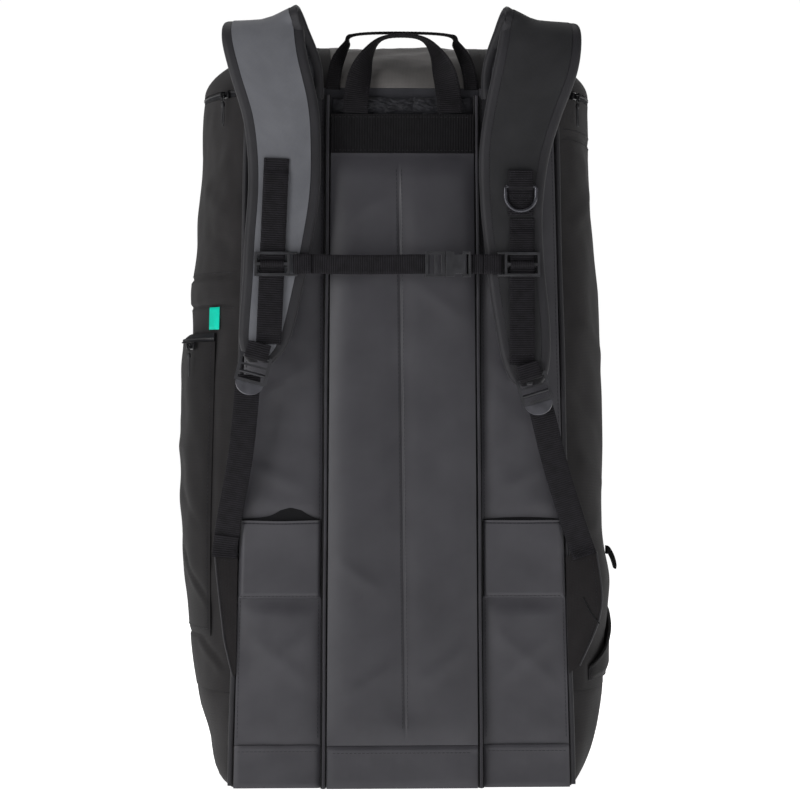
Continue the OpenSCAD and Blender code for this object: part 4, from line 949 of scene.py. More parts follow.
def buildPocket(word, side):
    # patch pocket: its rim is sewn flat, and the middle stands off by a rounded ramp with gathered folds near the foot
    p = pockets[word]
    u = np.linspace(0, 1, 60)[None, :]
    v = np.linspace(0, 1, 90)[:, None]
    top = p["tops"][0] + (p["tops"][1] - p["tops"][0]) * u
    z = p["low"] + (top - p["low"]) * v
    t = p["t0"] + (p["t1"] - p["t0"]) * u + 0 * v
    soft = 5.0 if word == "left" else 6.0
    foot = np.minimum(1, 3.2 * v)
    swell = (1 - (1 - np.minimum(1, soft * np.minimum(u, 1 - u))) ** 2) * foot * foot * (3 - 2 * foot)
    sewn = edgeRamp(u * 200, v * 300, (10, 400), (10, 600), 2)
    wave = softNoise(t * 300, z, 60, 61) * p["folds"] * 0.6 - p["folds"] * 0.5
    creases = folds(t * 300, z, [(38, 186, 100, 236, -1.9, 3.6), (38, 180, 100, 228, 1.3, 5), (52, 262, 96, 300, -1.0, 5),
                                 (60, 330, 170, 352, 0.9, 9), (150, 180, 210, 240, 1.5, 7)]) if word == "left" else 0
    full = 0.42 + 0.58 * np.clip((z - 190) / 150, 0, 1) if word == "left" else 1
    stand = 0.7 + 1.2 * sewn + (p["swell"] * full + wave) * swell + np.minimum(creases, 0.9) * np.clip(sewn * 1.2, 0, 1)
    sag = trimmed(z, t, side)
    outer = sidePoint(z, t, -stand - sag)
    inner = sidePoint(z, t, -np.maximum(stand - 1.6, 0.3) - sag)
    skin = slab(word + "SidePocket", mirrored(outer, side), mirrored(inner, side), "pocketCloth", word + "_door")
    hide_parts(word + "_side_pocket")
    rim = [mirrored(outer[2:, 1], side), mirrored(outer[2:, -2], side), mirrored(outer[2, 1:-1], side)]
    stitches(word + "PocketStitch", [(line + (side * 0.25, 0, 0), (side, 0, 0)) for line in rim], word + "_door", 4.2, 3.0, 0.34)
    if word == "right":
        mouth = mirrored(sidePoint(z[-1], t[-1], -(stand[-1] + sag[-1] + 0.5)), side)
        sweep("rightPocketRim", mouth + (0, 0, -1.4), (0, 0, 1), flatProfile(3.0, 1.3), "gussetCloth", "right_door")

buildPocket("left", -1)
buildPocket("right", 1)

def buildPocketZip():
    # closing strip of the left pocket, from its upper edge in to the side, with a coil along its middle
    u = np.linspace(0, 1, 50)[None, :]
    t = 0.12 + 0.66 * u
    v = np.linspace(0, 1, 8)[:, None]
    swell = (1 - (1 - np.minimum(1, 9 * np.minimum(u, 1 - u))) ** 2)
    z = 447.4 + 8.6 * v + 0 * u
    stand = (1.9 + 9 * swell) * (1 - v) ** 0.8 + 1.7 * v
    outer = mirrored(sidePoint(z, t + 0 * v, -stand), -1)
    inner = mirrored(sidePoint(z, t + 0 * v, -np.maximum(stand - 1.5, 0.3)), -1)
    strip = slab("pocketZipTape", outer, inner, "zipTape", "left_door")
    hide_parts("pocket_zip")
    ridgedTube("pocketZipCoil", outer[2], (0, 0, 1), 1.1, 2.0, "left_door")

buildPocketZip()

def buildTag():
    # soft moulded tag, thicker in its middle than at its rim
    t = np.linspace(0.1, 0.16, 12)[None, :]
    z = np.linspace(459.2, 481.8, 14)[:, None]
    ramp = edgeRamp(np.linspace(0, 18, 12)[None, :], np.linspace(0, 23, 14)[:, None], (2.5, 18), (2.5, 23), 2)
    outer = mirrored(sidePoint(z + 0 * t, t + 0 * z, -0.6 - 1.2 * ramp), -1)
    inner = mirrored(sidePoint(z + 0 * t, t + 0 * z, -0.3 + 0 * ramp), -1)
    tag = slab("sideTag", outer, inner, "tealRubber", "left_door")
    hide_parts("accent_tag")

buildTag()

def buildPullTab():
    # folded webbing tab that hangs from the side's seam: its outline in (x, z) carried across its width, drawn in at the ends
    p = sidePoint(232.0, 0.38, -trimmed(232.0, 0.38, 1) * 0.8)
    edge = smoothRows([(0.4, 4), (3.4, 3.2), (6.6, -1.6), (9.4, -8), (11.2, -15.6), (10.6, -20.2), (8.8, -19.6), (7.2, -14.4),
                       (4.4, -7.2), (1.8, -3.6), (0.4, -4.6)], 4)
    middle = edge.mean(0)
    spread = np.array([-7.5, -7.2, -6.4, -3.2, 0, 3.2, 6.4, 7.2, 7.5])
    shrink = np.array([0.9, 0.97, 1, 1, 1, 1, 1, 0.97, 0.9])
    outline = middle + (edge - middle)[None] * shrink[:, None, None]
    rings = np.stack([p[0] + outline[..., 0], np.broadcast_to(p[1] + spread[:, None], outline.shape[:2]), 232 + outline[..., 1]], -1)
    tab = loft("rightPullTab", rings, "webbing", "right_door", 40)
    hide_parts("right_pull_tab")
    stitches("pullTabStitch", [(np.stack([np.full(12, p[0] + 5.0), np.linspace(p[1] - 5.5, p[1] + 5.5, 12), np.full(12, 231.8)], -1), (1, 0, 0.4))],
             "right_door", 2.6, 2.1, 0.36)

buildPullTab()
print("sides made")

handles = {"inner": {"half": 47, "foot": 674, "footY": -162.9, "rise": 78, "topY": -153, "flat": 27, "width": 25},
           "outer": {"half": 69, "foot": 698, "footY": -151.6, "rise": 59, "topY": -133, "flat": 22, "width": 14}}

def handleRows(h):
    # each leg rises from its foot while its width direction turns from level to edge on at the top
    legs = [(h["half"], 0, 0), (h["half"] - 1, 0.22, 0), (h["half"] - 5, 0.5, 25), (h["half"] - 14, 0.78, 62), (h["half"] - h["flat"], 0.96, 85)]
    rows = []
    for x, k, turn in legs:
        a = math.radians(turn)
        rows.append((-x, h["footY"] + (h["topY"] - h["footY"]) * k ** 1.6, h["foot"] + h["rise"] * k, math.cos(a), math.sin(a)))
    middle = (0, h["topY"], h["foot"] + h["rise"], 0, 1)
    other = [(-r[0], r[1], r[2], -r[3], r[4]) for r in rows[::-1]]
    return smoothRows(rows + [middle] + other, 7)

def buildHandle(word):
    # ribbon of webbing along that path, drawn at one thickness also where it is doubled over the top
    h = handles[word]
    rows = handleRows(h)
    across = np.stack([rows[:, 3], rows[:, 4], 0 * rows[:, 3]], -1)
    nodeName, body = word + "_handle", word + "_loop"
    loop = sweep(word + "Handle", rows[:, :3], across, flatProfile(h["width"], 1.55), "handleWebbing", body)
    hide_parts(nodeName)
    lines = []
    inset = h["width"] / 2 - 2.6
    ahead = unit(np.gradient(rows[:, :3], axis=0))
    side = unit(across - (across * ahead).sum(1, keepdims=True) * ahead)
    normal = np.cross(side, ahead)
    for k in (-1, 1):
        for face in (-1, 1):
            lines.append((rows[:, :3] + side * inset * k + normal * 0.85 * face, (0, -1, 0.01)))
    stitches(word + "HandleStitch", lines, body, 4.0, 2.8, 0.3)

buildHandle("inner")
buildHandle("outer")

def boxStitch(x0, x1, z0, z1, y, lean=0.0, cross=True, centre=(0, 0)):
    # square of stitching with a cross from corner to corner, turned by lean degrees about a point
    corners = [(x0, z0), (x1, z0), (x1, z1), (x0, z1), (x0, z0)]
    runs = [corners[k:k + 2] for k in range(4)]
    if cross:
        runs += [[(x0, z0), (x1, z1)], [(x1, z0), (x0, z1)]]
    a = math.radians(lean)
    lines = []
    for run in runs:
        pts = []
        for k in np.linspace(0, 1, 12):
            x, z = (run[0][i] + (run[1][i] - run[0][i]) * k for i in (0, 1))
            dx, dz = x - centre[0], z - centre[1]
            pts.append((centre[0] + dx * math.cos(a) + dz * math.sin(a), y, centre[1] - dx * math.sin(a) + dz * math.cos(a)))
        lines.append((np.array(pts), (0, -1, 0)))
    return lines

straps = {
    "right": {"rows": [(104, 6.5, 686, 50, 0), (108, 8.5, 716, 56, 0), (122, 14, 743, 68, -0.1), (133, 23.5, 758, 79, -0.17),
        (136, 33, 749, 81, -0.17), (132, 36, 721, 82, -0.17), (119, 33.5, 675, 75, -0.15), (110, 32, 632, 69, -0.05),
        (107.5, 32, 585, 62, 0), (109, 32, 549, 58, 0), (113, 32, 505, 56, 0.05), (118, 32, 466, 54, 0.1),
        (121.5, 32, 434, 49, 0.1), (124, 32, 412, 38, 0.1), (125, 32, 402, 22, 0.1)], "face": "strapBlack"},
    "left": {"rows": [(104, 6.5, 686, 50, 0), (108, 8.5, 716, 56, 0), (124, 14, 743, 68, -0.1), (136, 23.5, 758, 78, -0.17),
        (139, 33, 749, 81, -0.17), (134, 36, 721, 78, -0.17), (122, 33.5, 675, 75, -0.1), (118, 32, 632, 72, -0.02),
        (118.5, 32, 592, 70, 0.02), (124, 32, 545, 66, 0.05), (129, 32, 505, 60, 0.07), (135, 32, 466, 54, 0.08),
        (139, 32, 446, 48, 0.08), (141, 32, 434, 38, 0.08), (141.5, 32, 425, 24, 0.08)], "face": "strapGrey"},
    "thick": 12, "binding": 11, "swell": 2.4, "voxel": 4}

def strapRun(word, steps=8):
    # centre line, width, thickness and width direction of a strap along its whole length
    rows = [(r[0], -150 - r[1], r[2], r[3], straps["thick"] * (0.7 if r[2] > 700 and r[1] < 10 else 1), r[4]) for r in straps[word]["rows"]]
    s = smoothRows(rows, steps)
    if word == "left":
        s[:, 0] *= -1
        s[:, 5] *= -1
    return s[:, :3], s[:, 3], s[:, 4], np.stack([np.ones(len(s)), np.zeros(len(s)), s[:, 5]], -1)

def puffed(piece, voxel, cap, seed=0):
    # swells a closed skin with cloth under pressure and keeps each point within cap mm of where it was
    mod = piece.modifiers.new("remesh", "REMESH")
    mod.mode = "VOXEL"
    mod.voxel_size = voxel * 0.001
    mod.use_smooth_shade = True
    deps = bpy.context.evaluated_depsgraph_get()
    fresh = bpy.data.meshes.new_from_object(piece.evaluated_get(deps))
    piece.modifiers.clear()
    piece.data = fresh
    before = np.empty(len(fresh.vertices) * 3, np.float32)
    fresh.vertices.foreach_get("co", before)
    cloth = piece.modifiers.new("cloth", "CLOTH")
    cloth.settings.use_pressure = True
    cloth.settings.uniform_pressure_force = 4
    cloth.settings.effector_weights.gravity = 0
    cloth.settings.quality = 5
    cloth.point_cache.frame_start, cloth.point_cache.frame_end = 1, 20
    scene = bpy.context.scene
    for frameNo in range(1, 21):
        scene.frame_set(frameNo)
    deps = bpy.context.evaluated_depsgraph_get()
    swollen = bpy.data.meshes.new_from_object(piece.evaluated_get(deps))
    after = np.empty(len(swollen.vertices) * 3, np.float32)
    swollen.vertices.foreach_get("co", after)
    piece.modifiers.clear()
    move = (after - before).reshape(-1, 3)
    size = np.linalg.norm(move, axis=1, keepdims=True)
    move *= np.minimum(1, cap * 0.001 / np.maximum(size, 1e-9))
    fresh.vertices.foreach_set("co", (before.reshape(-1, 3) + move).astype(np.float32).reshape(-1))
    bpy.data.meshes.remove(swollen)
    scene.frame_set(1)
    fresh.update()
    fresh.polygons.foreach_set("use_smooth", np.ones(len(fresh.polygons), bool))
    return piece

def padProfile(width, thick, inset):
    # rounded section of a pad: a superellipse of power 3.2 across and 2.6 through
    a = np.linspace(0, 2 * math.pi, 36, endpoint=False)
    c, s = np.cos(a), np.sin(a)
    return np.stack([np.sign(c) * np.abs(c) ** (2 / 4.5) * (width / 2 - inset), np.sign(s) * np.abs(s) ** (2 / 3.0) * (thick / 2 - inset)], -1)

def buildStrap(word):
    path, width, thick, across = strapRun(word)
    side = -1 if word == "left" else 1
    ahead = unit(np.gradient(path, axis=0))
    wide = unit(across - (across * ahead).sum(1, keepdims=True) * ahead)
    out = np.cross(wide, ahead)
    # foam pad in spacer mesh, started a little small and swollen by the cloth step
    profile = np.stack([padProfile(w, t, 1.5) for w, t in zip(width, thick)])
    pad = sweep(word + "StrapPad", path, across, profile, "airMesh", None)
    pad = puffed(pad, straps["voxel"], straps["swell"])
    pad.data.materials.clear()
    pad.data.materials.append(mats["airMesh"])
    mod = pad.modifiers.new("smooth", "SUBSURF")
    mod.levels = mod.render_levels = 1
    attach(pad, "shell")
    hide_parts(word + "_strap_pad")
    # facing fabric down the outer side, slightly crowned, with slack gathered at the fold over the top
    keep = slice(12, len(path) - 4)
    n = len(path[keep])
    s = np.linspace(-1, 1, 16)
    reach = (width[keep] / 2 - straps["binding"] + 1.2)[:, None]
    front = np.minimum(0.8, 0.9 * (1 - s ** 2))[None, :]
    ripple = 0.25 * softNoise(s[None, :] * 26, np.arange(n)[:, None] * 4.5, 26, 71 + side)
    level = -(thick[keep] / 2 + 0.3)[:, None]
    outerB = level - 0.75 - front * 0.85 + ripple * (1 - s ** 2)[None, :]
    innerB = level + 0.1 + 0 * front
    def place(a, b):
        return path[keep][:, None] + wide[keep][:, None] * a[..., None] + out[keep][:, None] * b[..., None]
    face = slab(word + "StrapFace", place(reach * s, outerB), place(reach * s, innerB), straps[word]["face"], "shell")
    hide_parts(word + "_strap_face")
    # binding folded over each edge from the front round to the mesh side
    lines = []
    for k, label in ((-1, "Inner"), (1, "Outer")):
        rows = []
        for w, t in zip(width, thick):
            a, b = w / 2, t / 2
            cut = min(straps["binding"], a * 0.75)
            r = min(5.0, b * 0.85)
            turn = np.linspace(-math.pi / 2, math.pi / 2, 11)
            curve = np.stack([a - r + r * np.cos(turn), (b - r) * np.sign(np.sin(turn)) + r * np.sin(turn)], -1)
            outer = np.concatenate([[[a - cut, -b - 0.35]], curve * (1, 1) + (0.35, 0) * 1, [[a - cut * 0.7, b + 0.35]]])
            outer[1:-1, 1] *= (b + 0.35) / b
            inner = outer * (1, 1)
            centre = np.array([a - cut - 3, 0])
            inner = outer + unit(centre - outer) * 1.0
            ring = np.concatenate([outer, inner[::-1]])
            ring[:, 0] *= k
            rows.append(ring if k > 0 else ring[::-1])
        sweep(word + "Binding" + label, path, across, np.stack(rows), "binding", "shell", twistU=True)
        a = width / 2 - np.minimum(straps["binding"], width / 2 * 0.75) + 1.6
        lines.append((path + wide * (k * a)[:, None] - out * (thick / 2 + 0.55)[:, None], -out[len(out) // 2]))
    stitches(word + "BindingStitch", lines, "shell", 4.0, 2.9, 0.36)

buildStrap("left")
buildStrap("right")
print("straps made")

rails = {"left": {"x": -130, "low": 443, "top": 626.5, "lean": 2.5, "lock": (-144.5, 434, 15)},
         "right": {"x": 117, "low": 423, "top": 568, "lean": 0, "lock": (124.2, 414, -17)}, "mid": 522, "lift": -193.0, "sewn": 11}

def turned(points, x, z, lean):
    # turns points by lean degrees about a line along y through (x, z)
    a = math.radians(lean)
    p = np.asarray(points, float).copy()
    dx, dz = p[..., 0] - x, p[..., 2] - z
    p[..., 0], p[..., 2] = x + dx * math.cos(a) + dz * math.sin(a), z - dx * math.sin(a) + dz * math.cos(a)
    return p

def buildRail(word):
    # ribbon sewn flat to the pad at both ends and standing off between, so that the sternum slider runs on it
    r = rails[word]
    z = np.linspace(r["low"], r["top"], 90)
    fromEnd = np.minimum(z - r["low"], r["top"] - z)
    down = np.clip((rails["sewn"] + 6 - fromEnd) / 8, 0, 1)
    down = down * down * (3 - 2 * down)
    y = rails["lift"] + 1.9 * down
    path = turned(np.stack([np.full(90, r["x"]), y, z], -1), r["x"], rails["mid"], r["lean"])
    a = math.radians(r["lean"])
    ribbon = sweep(word + "RailWebbing", path, (math.cos(a), 0, -math.sin(a)), flatProfile(25, 1.5), "webbing", "shell")
    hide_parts(word + "_rail_webbing")
    lines = []
    for z0 in (r["low"] + 1.2, r["top"] - 10.2):
        lines += boxStitch(r["x"] - 10.8, r["x"] + 10.8, z0, z0 + 9, -192.0, r["lean"], False, (r["x"], rails["mid"]))
    stitches(word + "RailStitch", lines, "shell", 2.6, 2.1, 0.4)
    # loop that comes down from the rail, round the lock's upper bar and back up behind
    lx, lz, turn = r["lock"]
    bend = 2.55
    front = [(-bend, h) for h in (14, 10, 6, 3)]
    turnBack = [(-bend * math.cos(t), -bend * math.sin(t)) for t in np.linspace(0, math.pi, 14)]
    back = [(bend, h) for h in (3, 6, 10, 14)]
    local = np.array(front + turnBack + back)
    path = np.stack([np.full(len(local), lx), -196.0 + local[:, 0], lz - 3.5 + local[:, 1]], -1)
    a = math.radians(turn)
    path = turned(path, lx, lz, turn)
    loop = sweep(word + "LockLoop", path, (math.cos(a), 0, -math.sin(a)), flatProfile(23, 1.4), "webbing", "shell")
    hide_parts(word + "_rail_webbing")

buildRail("left")
buildRail("right")

ringLoop = {"x": 115.5, "z": 599, "y": -193.5, "wire": 1.8}

def buildRing():
    # patch of webbing sewn to the strap, a short loop of it round the ring's straight side, and the ring itself
    x, y0, z0 = ringLoop["x"], ringLoop["y"], ringLoop["z"]
    z = np.linspace(570.4, 615.6, 24)
    lie = np.stack([np.full(24, x), np.full(24, -190.75), z], -1)
    patch = sweep("ringPatch", lie, (1, 0, 0), flatProfile(25, 1.1), "webbing", "shell")
    bend = 2.75
    up = [(-0.4 - bend * 0.75, 16), (-0.2 - bend * 0.9, 12), (-bend, 7), (-bend, 3)]
    around = [(-bend * math.cos(t), -bend * math.sin(t)) for t in np.linspace(0, math.pi, 16)]
    local = np.array(up + around + [(bend * 0.55, 4), (bend * 0.45, 9), (bend * 0.45, 15.5)])
    path = np.stack([np.full(len(local), x), y0 + local[:, 0], z0 + local[:, 1]], -1)
    path[:, 1] = np.minimum(path[:, 1], -191.9)
    loop = sweep("ringLoop", path, (1, 0, 0), flatProfile(24.4, 1.3), "webbing", "shell")
    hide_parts("d_ring_loop")
    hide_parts("d_ring_loop")
    boxes = boxStitch(x - 10.5, x + 10.5, 571.8, 590, -191.4) + boxStitch(x - 10.5, x + 10.5, 606.5, 613.5, -196.9, 0, False)
    stitches("ringStitch", boxes, "shell", 2.6, 2.1, 0.36)
    bow = 17 - ringLoop["wire"]
    turn = np.linspace(0, math.pi, 40)
    bar = np.stack([np.linspace(-bow + 1.6, bow - 1.6, 16), np.zeros(16)], -1)
    cornerR = [(bow - 1.6 + 1.6 * math.sin(t), -1.6 + 1.6 * math.cos(t)) for t in np.linspace(0.3, math.pi / 2, 5)]
    legR = [(bow, z) for z in (-3.5, -6)]
    bowl = [(bow * math.cos(t), -9 - bow * math.sin(t)) for t in turn]
    legL = [(-bow, z) for z in (-6, -3.5)]
    cornerL = [(-bow + 1.6 - 1.6 * math.sin(t), -1.6 + 1.6 * math.cos(t)) for t in np.linspace(math.pi / 2, 0.3, 5)]
    flat = np.array(list(map(tuple, bar)) + cornerR + legR + bowl + legL + cornerL)
    path = np.stack([x + flat[:, 0], np.full(len(flat), y0), z0 + flat[:, 1]], -1)
    # the ring takes the lighter enamel, a painted highlight on its black finish
    ring = sweep("dRing", path, (0, 1, 0), roundProfile(1.8, 14), "ringHighlightEnamel", "ring", closed=True)
    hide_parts("d_ring")

buildRing()

lowers = {"left": [(-153.5, 36, 413), (-157, 34, 380), (-163, 26, 330), (-171, 15, 280), (-176, 4.8, 246), (-177.5, 3.9, 231)],
          "right": [(134, 36, 387), (140, 34, 368), (152, 26, 325), (168, 15, 275), (178, 4.8, 246), (183, 3.9, 231)]}

def buildLower(word):
    # webbing from the lock's lower bar down to its wing, its end sewn over the wing and, on the left, doubled
    rows = np.array([(x, -150 - d, z) for x, d, z in lowers[word]], float)
    path = smoothRows(rows, 12)
    run = path - path[0]
    sway = np.sin(np.clip(-run[:, 2] / 150, 0, 1) * math.pi)
    path[:, 0] += sway * (1.5 if word == "left" else -1.2)
    ribbon = sweep(word + "LowerWebbing", path, (1, 0, 0), flatProfile(25, 1.5), "webbing", "shell")
    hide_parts(word + "_lower_webbing")
    x, y, z = path[-1]
    ahead = unit(path[-1] - path[-8])
    lean = math.degrees(math.atan2(ahead[0], -ahead[2]))
    stitches(word + "LowerStitch", boxStitch(x - 10.5, x + 10.5, z + 2, z + 14, y - 1.0, -lean, True, (x, z)), "shell", 2.6, 2.1, 0.36)
    if word == "left":
        tail = path[-16:] + (0, -1.7, 0)
        sweep("leftWebbingTail", tail, (1, 0, 0), flatProfile(24.6, 1.4), "webbing", "shell")

buildLower("left")
buildLower("right")

wings = {"left": {"inner": [(-164.2, 231), (-164.8, 200), (-165.4, 160), (-166, 118), (-167.5, 113)],
                  "outer": [(-187, 236), (-183.5, 200), (-179.5, 165), (-177, 146), (-169, 112)]},
         "right": {"inner": [(164.2, 231), (165, 200), (165.8, 160), (167, 118), (170, 116)],
                   "outer": [(195, 236), (200.5, 195), (198, 170), (190, 148), (178, 122)]}}

def buildWing(word):
    # flat gusset between two edge lines, sewn along its inner edge, with a narrow bound rim on its outer edge
    w = wings[word]
    inner, outer = smoothRows(w["inner"], 8), smoothRows(w["outer"], 8)
    k = np.linspace(0, 1, 14)[None, :, None]
    flat = inner[:, None] * (1 - k) + outer[:, None] * k
    puff = np.sin(math.pi * k[..., 0]) * 0.35
    front = np.stack([flat[..., 0], -152.3 - puff + 0 * flat[..., 0], flat[..., 1]], -1)
    back = front.copy()
    back[..., 1] = -151.2
    wing = slab(word + "StrapWing", front, back, "bodyCloth", "shell")
    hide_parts("strap_wings")
    rim = front[:, -1] + (0, 0.3, 0)
    sweep(word + "WingRim", rim, (0, 1, 0), flatProfile(2.6, 1.8), "binding", "shell")
    sewn = [(row + (0, -0.15, 0), (0, -1, 0)) for row in (front[2:-6, -3], front[2, 2:-2])]
    stitches(word + "WingStitch", sewn, "shell", 3.6, 2.6, 0.34)
    if word == "right":
        k = np.linspace(0, 1, 14)
        seam = np.stack([182 + 16 * k, np.full(14, -152.9), 190 - 26 * k - 3 * np.sin(math.pi * k)], -1)
        sweep("rightWingSeam", seam, (0, 1, 0), roundProfile(0.8, 8), "gussetCloth", "shell")

buildWing("left")
buildWing("right")

sternum = {"y": -195.9, "z": 522, "width": 19.4, "leftBar": -106.5, "rightBar": 93.5}

def buildSternumWebbing(word):
    # webbing sewn back on itself round the slider's bar, running level to the buckle
    bar = sternum[word + "Bar"]
    aim = 1 if word == "left" else -1
    end = 25.0 if word == "left" else 62.0
    r = 2.2
    turn = np.linspace(0, math.pi, 14)
    around = [(-r * math.sin(t) * aim, -r * math.cos(t)) for t in turn]
    first = [(15 * aim, -1.7), (9 * aim, -1.9), (4 * aim, -2.15)]
    span = abs(end - bar)
    rest = [(k * span * aim, 0.35 * math.sin(k * 9) - 0.1) for k in np.linspace(0.14 if word == "left" else 0.5, 1, 40 if word == "left" else 8)]
    rest = [(4 * aim, 2.0), (9 * aim, 1.2), (14 * aim, 0.3)] + rest
    local = np.array(first + around + rest)
    sort = smoothRows(local, 3)
    path = np.stack([bar + sort[:, 0], sternum["y"] + sort[:, 1], np.full(len(sort), sternum["z"])], -1)
    if word == "left":
        k = np.clip((path[:, 0] - bar - 16) / 100, 0, 1)
        path[:, 2] += -0.7 * np.sin(k * math.pi)
    piece = sweep(word + "SternumWebbing", path, (0, 0, 1), flatProfile(sternum["width"], 1.25), "webbing", word + "_runner")
    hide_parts(word + "_sternum_webbing")
    x0 = bar + aim * 6
    sewn = boxStitch(min(x0, x0 + aim * 7), max(x0, x0 + aim * 7), 514.5, 529.5, sternum["y"] - 2.75, 0, False)
    stitches(word + "SternumStitch", sewn, word + "_runner", 2.4, 1.9, 0.34)
    if word == "left":
        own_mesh(piece)

buildSternumWebbing("left")
buildSternumWebbing("right")

for node, name, body in (("left_sternum_slider", "leftSternumSlider", "left_runner"), ("right_sternum_slider", "rightSternumSlider", "right_runner"),
                         ("buckle_male", "bucklePlug", "buckle_plug"), ("buckle_female", "buckleSocket", "right_runner"),
                         ("buckle_upper_arm", "buckleUpperArm", "upper_arm"), ("buckle_lower_arm", "buckleLowerArm", "lower_arm")):
    softened(node, name, "acetal", body, 0.9 if "Slider" in name else 0.5)

def buildRoll(word):
    # the rail's webbing where it rises over the slider's middle bar: a low oval roll between the frame's sides
    low = np.array(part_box(word + "_sternum_slider")[0]) * 1000
    x = rails[word]["x"]
    run = np.linspace(-11.6, 11.6, 12)
    path = np.stack([x + run, np.full(12, low[1] + 1.5), np.full(12, sternum["z"])], -1)
    turn = np.linspace(0, 2 * math.pi, 20, endpoint=False)
    oval = np.stack([3.5 * np.cos(turn), 2.0 * np.sin(turn)], -1)
    sweep(word + "SliderRoll", path, (0, 0, 1), oval, "webbing", word + "_runner")

buildRoll("left")
buildRoll("right")

def paintTabHighlight(piece, x, z, turn):
    # the thumb tab's faces, below the lock's frame along its own length, take the lighter grey acetal: a painted
    # highlight on the black tab
    piece.data.materials.append(mats["tabHighlightAcetal"])
    mesh = piece.data
    centres = np.empty(len(mesh.polygons) * 3)
    mesh.polygons.foreach_get("center", centres)
    local = turned(centres.reshape(-1, 3) * 1000, x, z, -turn)
    mesh.polygons.foreach_set("material_index", np.where(local[:, 2] - z < -30.3, 1, 0).astype(np.int32))

for word in ("left", "right"):
    lock = softened(word + "_ladder_lock", word + "LadderLock", "acetal", word + "_lock", 0.4)
    # each lock's thumb tab gets the painted highlight
    paintTabHighlight(lock, *rails[word]["lock"])

zipPulls = {"wire": 0.8, "bail": (2.3, 6.2), "cord": 0.85, "loop": 2.6, "length": 30.6}

def levelWay(z, t0, t1, side):
    # level direction along the side between two places on its curve
    p, q = sidePoint(z, t0, 0.0), sidePoint(z, t1, 0.0)
    return unit(mirrored((q - p)[None], side))[0]

def buildPull(word, way):
    # wire bail through the slider's eye, a crimp under it, and a soft cord loop that hangs from the crimp
    node, body, name = word + "_pull", word + "_pull", word.split("_")[0] + "ZipPull"
    low, high = (np.array(p) * 1000 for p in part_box(node))
    pin = np.array([(low[0] + high[0]) / 2, (low[1] + high[1]) / 2, high[2] - 1.1])
    half, drop = zipPulls["bail"]
    def hung(across, down):
        return pin + np.asarray(across)[:, None] * way + np.asarray(down)[:, None] * np.array([0, 0, -1.0])
    turn = np.linspace(0, 2 * math.pi, 40, endpoint=False)
    square = np.sign(np.cos(turn)) * np.abs(np.cos(turn)) ** 0.45, np.sign(np.sin(turn)) * np.abs(np.sin(turn)) ** 0.45
    front = np.cross(way, (0, 0, 1.0))
    bail = sweep(name + "Bail", hung(half * square[0], drop / 2 - drop / 2 * square[1]), front, roundProfile(zipPulls["wire"], 10),
                 "enamel", body, closed=True)
    s = np.linspace(0, 1, 60, endpoint=False)
    span = zipPulls["length"] - drop + 1.2
    down = drop - 1.2 + span * (0.5 - 0.5 * np.cos(2 * math.pi * s))
    across = zipPulls["loop"] * np.sin(2 * math.pi * s) * (0.35 + 0.65 * (0.5 - 0.5 * np.cos(2 * math.pi * s)))
    loop = sweep(name + "Loop", hung(across, down), front, roundProfile(zipPulls["cord"], 10), "rubber", body, closed=True)
    steps = np.array([0, 0.3, 1.2, 3.2, 4.6, 5.4, 5.7])
    girth = np.array([0.5, 1.5, 1.9, 2.0, 1.9, 1.5, 0.5])
    crimp = sweep(name + "Crimp", hung(0 * steps, drop + 1.0 + steps), front, roundProfile(1.0, 14), "rubber", body)
    flat = np.empty(len(crimp.data.vertices) * 3, np.float32)
    crimp.data.vertices.foreach_get("co", flat)
    rings = flat.reshape(len(steps), -1, 3)
    centre = rings.mean(1, keepdims=True)
    rings[:] = centre + (rings - centre) * girth[:, None, None]
    crimp.data.vertices.foreach_set("co", rings.reshape(-1))
    for piece in (bail, loop, crimp):
        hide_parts(node)

for word in ("left_zip", "right_zip", "pocket_zip", "front_zip"):
    softened(word + "_slider", word.split("_")[0] + "ZipSlider", "enamel", word + "_slider", 0.35)
buildPull("left_zip", levelWay(695.4, 0.1, 0.18, -1))
buildPull("right_zip", levelWay(695.4, 0.1, 0.18, 1))
buildPull("pocket_zip", levelWay(443.0, 0.2, 0.24, -1))
buildPull("front_zip", np.array([1.0, 0, 0]))

def dress(nodeName, matKey):
    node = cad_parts[nodeName]
    for k in range(max(1, len(node.material_slots))):
        if node.material_slots:
            node.material_slots[k].material = mats[matKey]
        else:
            node.data.materials.append(mats[matKey])

dress("dividers", "boardCloth")
dress("base_boards", "boardPlastic")
dress("back_wall_centre", "boardCloth")
print("hardware made")

def stageMaterial():
    mat, tree, shader = startMaterial("palePaper", {"Roughness": 0.9, "Specular IOR Level": 0.1,
                                                    "Emission Color": (1, 1, 1, 1), "Emission Strength": 0.97})
    spot = addNode(tree, "ShaderNodeTexCoord")
    grain = addNode(tree, "ShaderNodeTexNoise", {"Scale": 3.0, "Detail": 2.0}, {"Vector": (spot, "Object")})
    ramp = addNode(tree, "ShaderNodeValToRGB", None, {"Fac": (grain, "Fac")})
    ramp.color_ramp.elements[0].color = linearColour("#f6f6f6")
    ramp.color_ramp.elements[1].color = linearColour("#fbfbfb")
    tree.links.new(ramp.outputs["Color"], shader.inputs["Base Color"])
    return mat

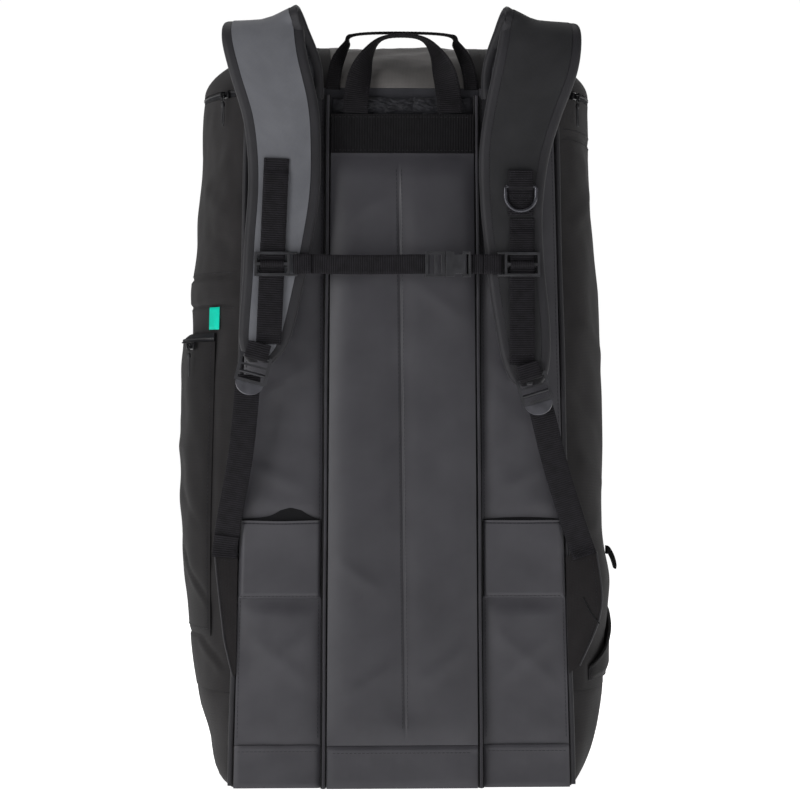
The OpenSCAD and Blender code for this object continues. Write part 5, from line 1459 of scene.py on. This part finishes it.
floorMesh = bpy.data.meshes.new("floor")
floorMesh.from_pydata([(-6, -6, 0), (6, -6, 0), (6, 6, 0), (-6, 6, 0)], [], [(0, 1, 2, 3)])
floorMesh.materials.append(stageMaterial())
floor = bpy.data.objects.new("floor", floorMesh)
bpy.context.collection.objects.link(floor)

def areaLight(name, place, aim, power, width, height):
    light = bpy.data.lights.new(name, "AREA")
    light.shape = "RECTANGLE"
    light.size, light.size_y, light.energy = width, height, power
    lamp = bpy.data.objects.new(name, light)
    bpy.context.collection.objects.link(lamp)
    lamp.location = place
    lamp.rotation_euler = (mathutils.Vector(aim) - mathutils.Vector(place)).to_track_quat("-Z", "Y").to_euler()

lights = {"key": ((-2.1, -2.1, 0.8), 31, 1.2, 1.0), "fill": ((1.9, -2.0, 0.6), 2.4, 1.2, 1.2), "top": ((-0.2, 0.2, 2.4), 15, 1.6, 1.6),
          "back": ((0.3, 2.4, 1.5), 16, 1.5, 1.2)}
for name, (place, power, width, height) in lights.items():
    areaLight(name, place, (0, 0, 0.4), power, width, height)

world = bpy.data.worlds.new("studio")
world.use_nodes = True
sky = world.node_tree.nodes["Background"]
sky.inputs["Color"].default_value = (1, 1, 1, 1)
ray = addNode(world.node_tree, "ShaderNodeLightPath")
glow = addNode(world.node_tree, "ShaderNodeMath", {"operation": "MULTIPLY_ADD", 1: 0.91, 2: 0.1}, {0: (ray, "Is Camera Ray")})
world.node_tree.links.new(glow.outputs["Value"], sky.inputs["Strength"])
bpy.context.scene.world = world
bpy.context.scene.view_settings.view_transform = "Standard"

view = {"turn": 2.5, "distance": 3.2, "lens": 144, "target": (-0.002, -0.15, 0.388)}
cameraData = bpy.data.cameras.new("camera")
cameraData.lens, cameraData.sensor_width = view["lens"], 36
camera = bpy.data.objects.new("camera", cameraData)
bpy.context.collection.objects.link(camera)
turn = math.radians(view["turn"])
camera.location = (view["target"][0] - view["distance"] * math.sin(turn), view["target"][1] - view["distance"] * math.cos(turn), view["target"][2])
camera.rotation_euler = (math.pi / 2, 0, -turn)
bpy.context.scene.camera = camera
print("lights and camera set")
